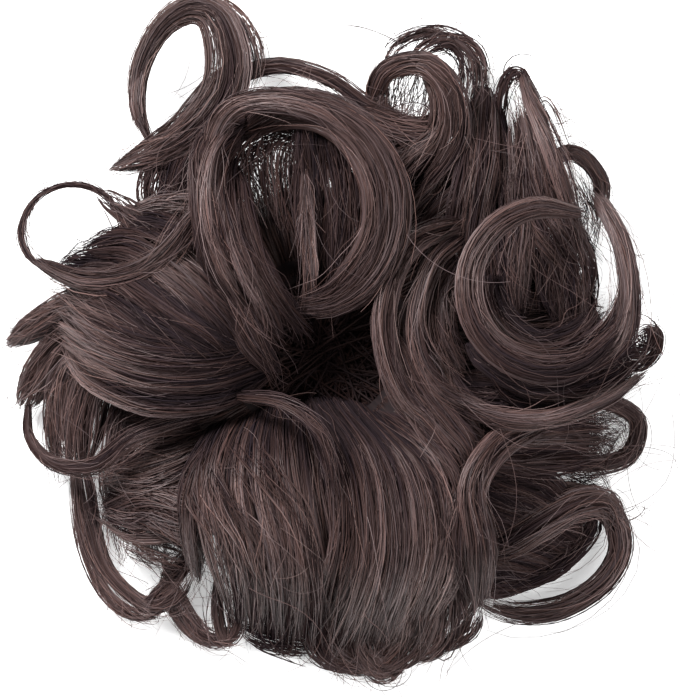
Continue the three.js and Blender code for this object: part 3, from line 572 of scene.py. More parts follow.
def ribbons(path, half, outward, tone):
    """Strands as narrow strips, each turned a little its own way about its length."""
    path = kept_in(path, half)
    count, points = path.shape[:2]
    tangent = unit(np.gradient(path, axis=1))
    across = unit(np.cross(outward, tangent))
    over = np.cross(tangent, across)
    roll, turning = rng.normal(0, 0.35, (2, count, 1))
    roll = roll + turning * np.linspace(0, 1, points)
    edge = across * np.cos(roll)[..., None] + over * np.sin(roll)[..., None]
    facing = over * np.cos(roll)[..., None] - across * np.sin(roll)[..., None]
    verts = np.stack([path - edge * half[..., None], path + edge * half[..., None]], axis=2)
    # It is shaded as if it were round.
    slope = math.radians(STRAND_SLOPE)
    level, tilt = facing * math.cos(slope), edge * math.sin(slope)
    normals = np.stack([level - tilt, level + tilt], axis=2)
    at = np.arange(count * points * 2).reshape(count, points, 2)
    quads = np.stack([at[:, :-1, 0], at[:, 1:, 0], at[:, 1:, 1], at[:, :-1, 1]], axis=-1)
    hue = np.broadcast_to(rng.random(count)[:, None, None], at.shape)
    part = part_of(verts, quads, np.broadcast_to(tone[..., None], at.shape), hue)
    return part | {"normals": normals.reshape(-1, 3)}


def flyaways_of(sheet, style, count):
    """Single fine strands that leave a sheet's surface and cross it at a slant."""
    rows = len(sheet["middle"])
    points = 10
    s = np.linspace(0, 1, points)[None]
    start = rng.uniform(0.0, 0.7, count)[:, None]
    reach = rng.uniform(0.2, 0.7, count)[:, None]
    t = start + np.minimum(reach, 1.04 - start) * s
    across = rng.uniform(-0.45, rows - 0.55, count)[:, None] + rng.normal(0, 0.35, (count, 1)) * s
    path, side, lift = placed(sheet, np.clip(across, -0.5, rows - 0.5), np.full(t.shape, 0.9), t)
    bow = rng.normal(0, 2.2, (count, 1)) * s**1.6 + rng.normal(0, 0.9, (count, 1)) * np.sin(np.pi * s)
    up = np.abs(rng.normal(0.3, 1.2, (count, 1))) * s**1.3
    wobble = rng.normal(0, 0.35, (count, 1))
    wobble = wobble * np.sin(2 * np.pi * (s * rng.uniform(0.5, 1.6, (count, 1))))
    path = path + side * (bow + wobble)[..., None] + lift * up[..., None]
    half = rng.uniform(0.05, 0.08, (count, 1)) * (0.5 + 0.5 * np.sqrt(1 - s))
    # The sheet's painted shade and light darken or lighten these strands too, at a share.
    tone = rng.uniform(0.35, 0.95, (count, 1)) + 0.6 * (style["shade"] + column(style["light"], t))
    return path, half, lift, tone


def lone_strands(sheets, count, lengths, least_away, outwards):
    """Long fine strands that leave the tufts at a slant, no nearer to the hole than least_away."""
    s = np.linspace(0, 1, 12)
    paths = []
    while len(paths) < count:
        sheet = sheets[rng.integers(0, len(sheets))]
        t = rng.uniform(0.1, 1.0)
        across = rng.uniform(-0.4, len(sheet["middle"]) - 0.6)
        here = placed(sheet, np.full((1, 2), across), np.ones((1, 2)), np.array([[t, t + 0.02]]))[0]
        begin, ahead = here[0, 0], unit(here[0, 1] - here[0, 0])
        length, bend, wobble = rng.uniform(*lengths), rng.normal(0, 1.3), rng.normal(0, 0.25)
        slant, rise, bow = rng.normal(0, 0.5), rng.normal(0, 2.0), rng.uniform(0.5, 3.0)
        away = np.hypot(begin[0], begin[1])
        if away < least_away:
            continue
        ahead = ahead[:2] + outwards * begin[:2] / away
        heading = math.atan2(ahead[1], ahead[0]) + slant + bend * s + wobble * np.sin(5 * s)
        step = length / (len(s) - 1)
        x = begin[0] + np.cumsum(np.cos(heading)) * step
        y = begin[1] + np.cumsum(np.sin(heading)) * step
        z = begin[2] * (1 - 0.4 * outwards * s) + rise * s + bow * np.sin(np.pi * s)
        paths.append(np.stack([x, y, z], axis=-1))
    path = np.stack(paths)
    half = rng.uniform(0.04, 0.07, (count, 1)) * (0.5 + 0.5 * np.sqrt(1 - s[None]))
    tone = rng.uniform(0.4, 0.8, (count, 1)) * np.ones(half.shape)
    return path, half, np.broadcast_to(UP, path.shape), tone


def body_of_sheet(sheet, begin, reach, wide=0.5, deep=0.35):
    """A closed lens-shaped body inside a sheet, narrower, thinner and shorter than its strands."""
    rows = len(sheet["middle"])
    length = int(np.clip(8 + turn_of(sheet) / 10, 12, 36))
    half = 5 + 3 * rows
    t = np.linspace(begin + 0.04, reach, length)
    shrink = np.minimum((t - begin) / 0.2, (reach + 0.04 - t) / 0.3)
    shrink = np.sqrt(np.clip(shrink, 0.05, 1))[:, None]
    edge = 0.5 * wide
    across = np.linspace(-edge, rows - 1 + edge, half)
    across = np.concatenate([across, across[::-1][1:-1]])
    middle = (rows - 1) / 2
    depth = np.concatenate([np.full(half, deep), np.full(half - 2, -deep)])
    depth[[0, half - 1]] = 0
    grid_across = middle + (across[None] - middle) * (shrink if rows == 1 else shrink**0.5)
    grid_depth = depth[None] * shrink
    grid_t = np.broadcast_to(t[:, None], grid_across.shape)
    point = placed(sheet, grid_across, grid_depth, grid_t)[0]
    point[..., 2] = np.maximum(point[..., 2], LEAST_HEIGHT)
    n, m = grid_across.shape
    at = np.arange(n * m).reshape(n, m)
    after = np.roll(at, -1, axis=1)
    quads = np.stack([at[:-1], after[:-1], after[1:], at[1:]], axis=-1)
    ends = np.stack([point[0].mean(axis=0), point[-1].mean(axis=0)])
    first_end = np.stack([np.full(m, n * m), after[0], at[0]], axis=-1)
    last_end = np.stack([np.full(m, n * m + 1), at[-1], after[-1]], axis=-1)
    tone = np.concatenate([grid_across.ravel(), [0.0, 0.0]])
    along = np.concatenate([grid_t.ravel(), [0.0, 1.0]])
    verts = np.concatenate([point.reshape(-1, 3), ends])
    return part_of(verts, quads, tone, along, np.concatenate([first_end, last_end]))


def mesh_object(name, parts, material):
    """One mesh of all the parts, with tone and along as point attributes."""
    offsets = np.cumsum([0] + [len(p["verts"]) for p in parts])
    verts = np.concatenate([p["verts"] for p in parts])
    quads = np.concatenate([p["quads"] + o for p, o in zip(parts, offsets)])
    tris = np.concatenate([p["tris"] + o for p, o in zip(parts, offsets)])
    mesh = bpy.data.meshes.new(name)
    mesh.vertices.add(len(verts))
    mesh.vertices.foreach_set("co", ((verts + ORIGIN) * MM).astype(np.float32).ravel())
    loops = np.concatenate([quads.ravel(), tris.ravel()]).astype(np.int32)
    mesh.loops.add(len(loops))
    mesh.loops.foreach_set("vertex_index", loops)
    starts = np.concatenate([np.arange(len(quads)) * 4, len(quads) * 4 + np.arange(len(tris)) * 3])
    mesh.polygons.add(len(starts))
    mesh.polygons.foreach_set("loop_start", starts.astype(np.int32))
    mesh.polygons.foreach_set("use_smooth", np.ones(len(starts), dtype=bool))
    for key in ("tone", "along"):
        values = np.concatenate([p[key] for p in parts]).astype(np.float32)
        mesh.attributes.new(key, "FLOAT", "POINT").data.foreach_set("value", values)
    if "normals" in parts[0]:
        normals = np.concatenate([p["normals"] for p in parts]).astype(np.float32)
        own_normals = mesh.attributes.new("custom_normal", "FLOAT_VECTOR", "POINT")
        own_normals.data.foreach_set("vector", normals.ravel())
    mesh.update(calc_edges=True)
    mesh.materials.append(material)
    piece = bpy.data.objects.new(name, mesh)
    bpy.context.scene.collection.objects.link(piece)
    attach(piece, "root")
    return piece


def new_material(name):
    material = bpy.data.materials.new(name)
    material.use_nodes = True
    tree = material.node_tree
    return material, tree, tree.nodes["Principled BSDF"]


def set_inputs(node, values):
    for name, value in values.items():
        node.inputs[name].default_value = value


def ramp(tree, source, stops):
    """A colour ramp of (place, colour) stops fed by a socket."""
    node = tree.nodes.new("ShaderNodeValToRGB")
    elements = node.color_ramp.elements
    while len(elements) < len(stops):
        elements.new(0.5)
    for element, (place, colour) in zip(elements, stops):
        element.position = place
        element.color = (*colour, 1.0)
    tree.links.new(source, node.inputs["Fac"])
    return node.outputs["Color"]


def attribute(tree, name):
    node = tree.nodes.new("ShaderNodeAttribute")
    node.attribute_name = name
    return node.outputs["Fac"]


def strand_material(name, cool, warm, roughness, sheen):
    """Strands between a cool and a warm run of colours by tone. The low end gives painted shade, and dark
    ones shine less.
    """
    material, tree, shader = new_material(name)
    tone = attribute(tree, "tone")
    mix = tree.nodes.new("ShaderNodeMix")
    mix.data_type = "RGBA"
    tree.links.new(attribute(tree, "along"), mix.inputs[0])
    tree.links.new(ramp(tree, tone, cool), mix.inputs[6])
    tree.links.new(ramp(tree, tone, warm), mix.inputs[7])
    tree.links.new(mix.outputs[2], shader.inputs["Base Color"])
    shine = tree.nodes.new("ShaderNodeMapRange")
    set_inputs(shine, {"From Min": 0.22, "To Max": sheen})
    tree.links.new(tone, shine.inputs["Value"])
    tree.links.new(shine.outputs["Result"], shader.inputs["Specular IOR Level"])
    shader.inputs["Roughness"].default_value = roughness
    return material


def body_material(name, dark, light, specular):
    """Fine streaks that run along the hair, in colour and relief."""
    material, tree, shader = new_material(name)
    place = tree.nodes.new("ShaderNodeCombineXYZ")
    tree.links.new(attribute(tree, "tone"), place.inputs["X"])
    tree.links.new(attribute(tree, "along"), place.inputs["Y"])
    stretch = tree.nodes.new("ShaderNodeMapping")
    stretch.inputs["Scale"].default_value = (90.0, 1.6, 1.0)
    tree.links.new(place.outputs["Vector"], stretch.inputs["Vector"])
    noise = tree.nodes.new("ShaderNodeTexNoise")
    set_inputs(noise, {"Scale": 1.0, "Detail": 4.0})
    tree.links.new(stretch.outputs["Vector"], noise.inputs["Vector"])
    colour = ramp(tree, noise.outputs["Fac"], [(0.3, dark), (0.7, light)])
    tree.links.new(colour, shader.inputs["Base Color"])
    bump = tree.nodes.new("ShaderNodeBump")
    set_inputs(bump, {"Strength": 0.6, "Distance": 0.0004})
    tree.links.new(noise.outputs["Fac"], bump.inputs["Height"])
    tree.links.new(bump.outputs["Normal"], shader.inputs["Normal"])
    set_inputs(shader, {"Roughness": 0.8, "Specular IOR Level": specular})
    return material


# Hair colours by tone. Their dark ends also give the painted shade, and their light ends the painted light,
# that the tone carries.
COOL_BROWN = [
    (0.0, (0.018, 0.013, 0.016)),
    (0.45, (0.043, 0.028, 0.029)),
    (0.75, (0.084, 0.055, 0.056)),
    (1.0, (0.17, 0.115, 0.112)),
]
WARM_BROWN = [
    (0.0, (0.018, 0.012, 0.012)),
    (0.45, (0.050, 0.026, 0.022)),
    (0.75, (0.095, 0.048, 0.041)),
    (1.0, (0.18, 0.096, 0.080)),
]
HAIR = strand_material("hair_strands", COOL_BROWN, WARM_BROWN, 0.5, 0.7)
# Dark bodies inside the sheets: their near-black colour is painted shade between the strands.
UNDERHAIR_SHADE = body_material("underhair_painted_shade", (0.012, 0.010, 0.011), (0.025, 0.017, 0.017), 0.02)

# What the strands of a sheet do where the styles below don't say otherwise
PLAIN = dict(
    density=1,  # strands, as a share of STRANDS_PER_MM
    clumps=0.6,  # clumps for each mm of width
    size=1.5,  # a clump's half width, mm
    wander=0.16,  # how far clumps sway across the sheet, in rows
    wave=0.16,  # how far single strands sway, mm
    free=0.4,  # the share of strands in no clump
    begin=0,  # where along the rows strands begin
    root=0.05,  # how much later some of them begin
    ragged=0.12,  # how much earlier some clumps end
    curl=1,  # how far clumps bend aside at their ends, mm
    loose=0.06,  # the share of strands that sway much further
    thick=1,  # a strand's width, as a share of the ordinary one
    tuck=4,  # how far roots sink, mm
    hook=0,  # how far ends bend back and down, mm
    shade=0,  # added to the tone: mostly painted shade for locks that lie deep, partly the lock's own lighter or darker colour
    light=[-0.12, 0, 0, 0, 0],  # painted light and shade added to the tone along the rows: darker roots by the hole, lighter crests
    across=0,  # painted shade and light added to the tone across the rows
    patchy=0.08,  # how much the tone varies in broad patches
    narrow=1,  # a row's width, as a share of the table's
    shift=0,  # how far the rows move to their side, mm
    point=0.25,  # the share of a strand that narrows to its end
    faint=0,  # how much thinner a strand begins
    under=False,  # whether strands come up from underneath
    uneven=0.08,  # how much earlier single strands end
    drift=0.3,  # how far free strands drift across, in rows
    reach=1,  # where along the rows clumps end
    least=24,  # the fewest strands
    body=0.8,  # where along the rows the dark body inside ends, or 0 for none; its dark colour is painted shade between strands
    flyaways=3,  # single strands over the sheet, as a share of FLYAWAYS_PER_ROW
)
# Styles that several tufts share: narrow loops, ends that roll under, and the wide fans
THIN = dict(size=0.45, wander=0.05, ragged=0.03, curl=0.1, loose=0.05, tuck=0.5)
ROUNDED = dict(ragged=0.05, hook=2.2, body=0.95, curl=1.4, wander=0.3, uneven=0.06, reach=1.03,
    light=[-0.3, -0.1, 0, 0, -0.25])
FAN = ROUNDED | dict(wave=0.25, reach=1.06, uneven=0.04, ragged=0.04, patchy=0.12)
# In these styles and those below, shade, light and across are painted shade and light in the tone.
STYLES = {
    "top_roll": dict(light=[-0.1, 0, 0.05, 0, -0.2]),
    "left_loop": THIN | dict(shade=-0.12),
    "left_low_loop": THIN | dict(shade=-0.2),
    "top_thin_loop": THIN | dict(density=0.4, size=0.6, wander=0.3, shade=-0.2, body=0),
    "tall_loop": dict(ragged=0.06, curl=0.4, density=0.7, size=1.2),
    "top_curl": dict(narrow=[0.8, 0.75, 0.75, 0.8], size=1.2, light=[-0.1, -0.05, 0, -0.1, -0.25]),
    "right_swirl": dict(curl=0.6, patchy=0.11),
    "bottom_fan_left": FAN | dict(light=[-0.55, -0.5, -0.32, 0, 0.12, 0.06, -0.22, -0.4],
        across=[0.1, 0.1, 0, -0.3], shift=[-1.5, -2, -1, 1.5, 3, 3]),
    "bottom_fan_right": FAN | dict(light=[-0.6, -0.55, -0.45, -0.2, -0.03, 0.12, 0.2, 0.1, -0.2],
        across=[-0.15, 0, 0.12, 0.05], shift=[0, 0.5, 1.5, 1, -1.5, -4.5]),
    "cleft_lock": dict(shade=-0.32, density=0.4, narrow=0.7, wave=0.05, body=0),
    "s_lock": dict(narrow=[0.9, 0.8, 0.75, 0.8, 1]),
    "bottom_right_fan": ROUNDED | dict(shade=-0.38, reach=1.08, hook=0.5, body=0.98, curl=0.5,
        light=[-0.2, 0, 0]),
    "bottom_right_loop": dict(shade=-0.03, density=1.2, curl=0.4, narrow=[0.8, 0.8, 0.75, 0.85],
        shift=[0, 0.6, 0.8, 0.8, 0], body=0.95, reach=1.04, light=[0.05, 0.1, 0, -0.1, -0.05, 0.05]),
    "right_under": dict(curl=2, shade=-0.3, density=0.9, body=0.95),
    "right_middle": dict(ragged=0.1, curl=1.4, shade=-0.22, body=0.9),
    "right_lower_loop": dict(shade=-0.2, curl=0.3, ragged=0.04),
    "right_upper_loop": dict(shade=-0.3, curl=0.3, ragged=0.06),
    "right_peak": dict(shade=-0.05, wander=0.3, curl=1.8, under=True, tuck=0.5),
    "right_fall": dict(shade=-0.2, wander=0.3, body=0.95, under=True, tuck=0.5),
    "left_fan": dict(light=[-0.5, -0.5, -0.42, -0.15, 0.12, 0.05],
        across=[0.05, 0.12, -0.18, -0.25, -0.25, -0.6], wander=0.3, wave=0.25, ragged=0.16, curl=1.6,
        patchy=0.11),
    "left_tips": dict(ragged=0.06, curl=0.4, loose=0.02, narrow=[1, 0.8, 0.8], shade=0.12, wander=0.1,
        light=[-0.3, 0, 0.05]),
    "left_nest": dict(ragged=0.16, curl=2, shade=-0.05, wander=0.3, density=0.8,
        light=[-0.45, -0.1, 0.1, 0, -0.1]),
    "left_low_tuft": dict(wander=0.2, ragged=0.05, narrow=[1, 0.9, 0.8],
        light=[-0.35, -0.15, 0.05, 0.05, -0.05], across=[0.1, 0.05, -0.3]),
    "top_arc": dict(shade=-0.15, narrow=[1, 0.75, 0.7, 0.8, 1], shift=[0, 0.6, 0.8, 0.4, 0]),
    "bottom_curls": dict(density=0.4, size=0.8, body=0),
    "bottom_left_loop": dict(narrow=[0.9, 0.55, 0.5, 0.8, 1], shift=[0, 1.2, 1.4, 0.6, 0], size=0.9, body=0,
        shade=-0.05),
    "bottom_left_arc": dict(narrow=[0.8, 0.7, 0.7], size=0.5, curl=0.3, body=0, density=0.8),
}

# Sheets that differ from the rest of their tuft, named by their first row
ROW_STYLES = {
    ("top_roll", 0): dict(narrow=[0.85, 0.85, 1, 1]),
    ("top_roll", 1): dict(narrow=[0.8, 0.75, 0.8, 1], shift=[0, -0.4, -0.3, 0]),
    ("top_roll", 2): dict(shade=-0.3, patchy=0.04),
    ("top_roll", 4): dict(shade=-0.3, patchy=0.05),
    ("top_roll", 5): dict(density=0.9, shade=-0.36, patchy=0.05, wander=0.4, wave=0.4, body=0),
    ("top_roll", 6): dict(shade=-0.36, patchy=0.05, wander=0.4, wave=0.4),
    ("right_crescent", 2): dict(narrow=[0.7, 0.5, 0.5, 0.55, 0.7], shift=[0, -1, -1.2, -0.8, 0],
        light=[-0.4, -0.1, 0.08, 0, -0.1], ragged=0.04, root=0.3, faint=0.7),
    ("right_crescent", 0): dict(narrow=[0.8, 0.6, 0.55, 0.6, 0.8], light=[-0.1, 0.05, 0.05, -0.1, -0.25],
        shift=[0, -0.6, -0.8, -0.6, 0]),
    ("right_crescent", 1): dict(narrow=[0.8, 0.65, 0.6, 0.65, 0.8], shade=-0.1, density=0.8,
        light=[-0.1, 0, 0, -0.15, -0.25]),
    ("right_crescent", 3): dict(shade=-0.12, density=0.5, wander=0.4),
    ("right_swirl", 0): dict(narrow=[0.8, 0.75, 0.75, 0.8, 0.9], light=[-0.1, 0, 0.12, -0.15, -0.35, -0.4]),
    ("right_swirl", 1): dict(narrow=[0.8, 0.7, 0.6, 0.4, 0.35], shift=[0, 0, -0.6, -1.6, -2], body=0,
        light=[-0.4, -0.3, -0.05, 0.1, 0.05]),
    ("right_swirl", 2): dict(shade=-0.35, density=0.45, free=0.8, body=0),
    ("right_swirl", 3): dict(shade=-0.38, narrow=[0.8, 0.7, 0.7, 0.8], flyaways=1),
    ("left_loop", 0): dict(narrow=[0.7, 0.6, 0.6, 0.65, 0.8], size=0.3, clumps=2.8, density=0.75, body=0,
        shade=-0.35, point=0.1),
    ("tall_loop", 0): dict(narrow=[0.9, 0.85, 0.9, 1], light=[0.1, 0.15, 0.05, 0, 0], body=0),
    ("tall_loop", 2): dict(shade=-0.4, wander=0.3),
    ("s_lock", 1): dict(shade=-0.12),
    ("right_peak", 0): dict(narrow=[0.6, 0.45, 0.3, 0.25], body=0, density=0.6, shade=-0.1),
    ("right_peak", 1): dict(begin=0.2, root=0.2, faint=0.7, under=False, tuck=0, narrow=0.6,
        across=[-0.1, 0, -0.1], light=[0, 0, 0, -0.15, -0.4, -0.5]),
    ("right_peak", 3): dict(shade=-0.3, narrow=[0.7, 0.55, 0.6, 0.8], light=[0, 0, 0, -0.1, -0.2]),
    ("bottom_fan_left", 3): dict(narrow=[1, 0.8, 0.5, 0.3], reach=0.95, hook=0.5, across=0, shift=0,
        light=[-0.5, -0.45, -0.3, -0.1, 0, -0.1], body=0.75),
}

# Styles of the extra rows. The first three are laid over others.
AS_DRAWN = dict(narrow=1, shift=0, across=0)
SHORT = dict(light=[-0.2, 0.05, 0.1, 0.05], across=0, shift=0, reach=1, hook=0)
# INWARD paints shade that deepens towards the hole; SHORT paints darker roots.
INWARD = dict(light=[0.05, 0, -0.25, -0.4, -0.5], across=0)
# Hair that flows from one lock into the next
FLOW = dict(under=False, tuck=0, ragged=0.06, body=0, curl=0.5, root=0.2, faint=0.7)
# Loose wisps, smoother ones and single strands
WISP = dict(under=False, root=0.2, faint=0.7, density=0.3, free=0.6, wander=0.4, wave=0.6, loose=0.25,
    ragged=0.25, curl=2, tuck=0, body=0, flyaways=0.8)
SMOOTH = WISP | dict(wave=0.2, loose=0.05, curl=0.5, wander=0.2)
SINGLE = WISP | dict(least=3, density=0, size=0.25, flyaways=0, free=0, wander=0.02, wave=0.1, loose=0,
    curl=0.3)
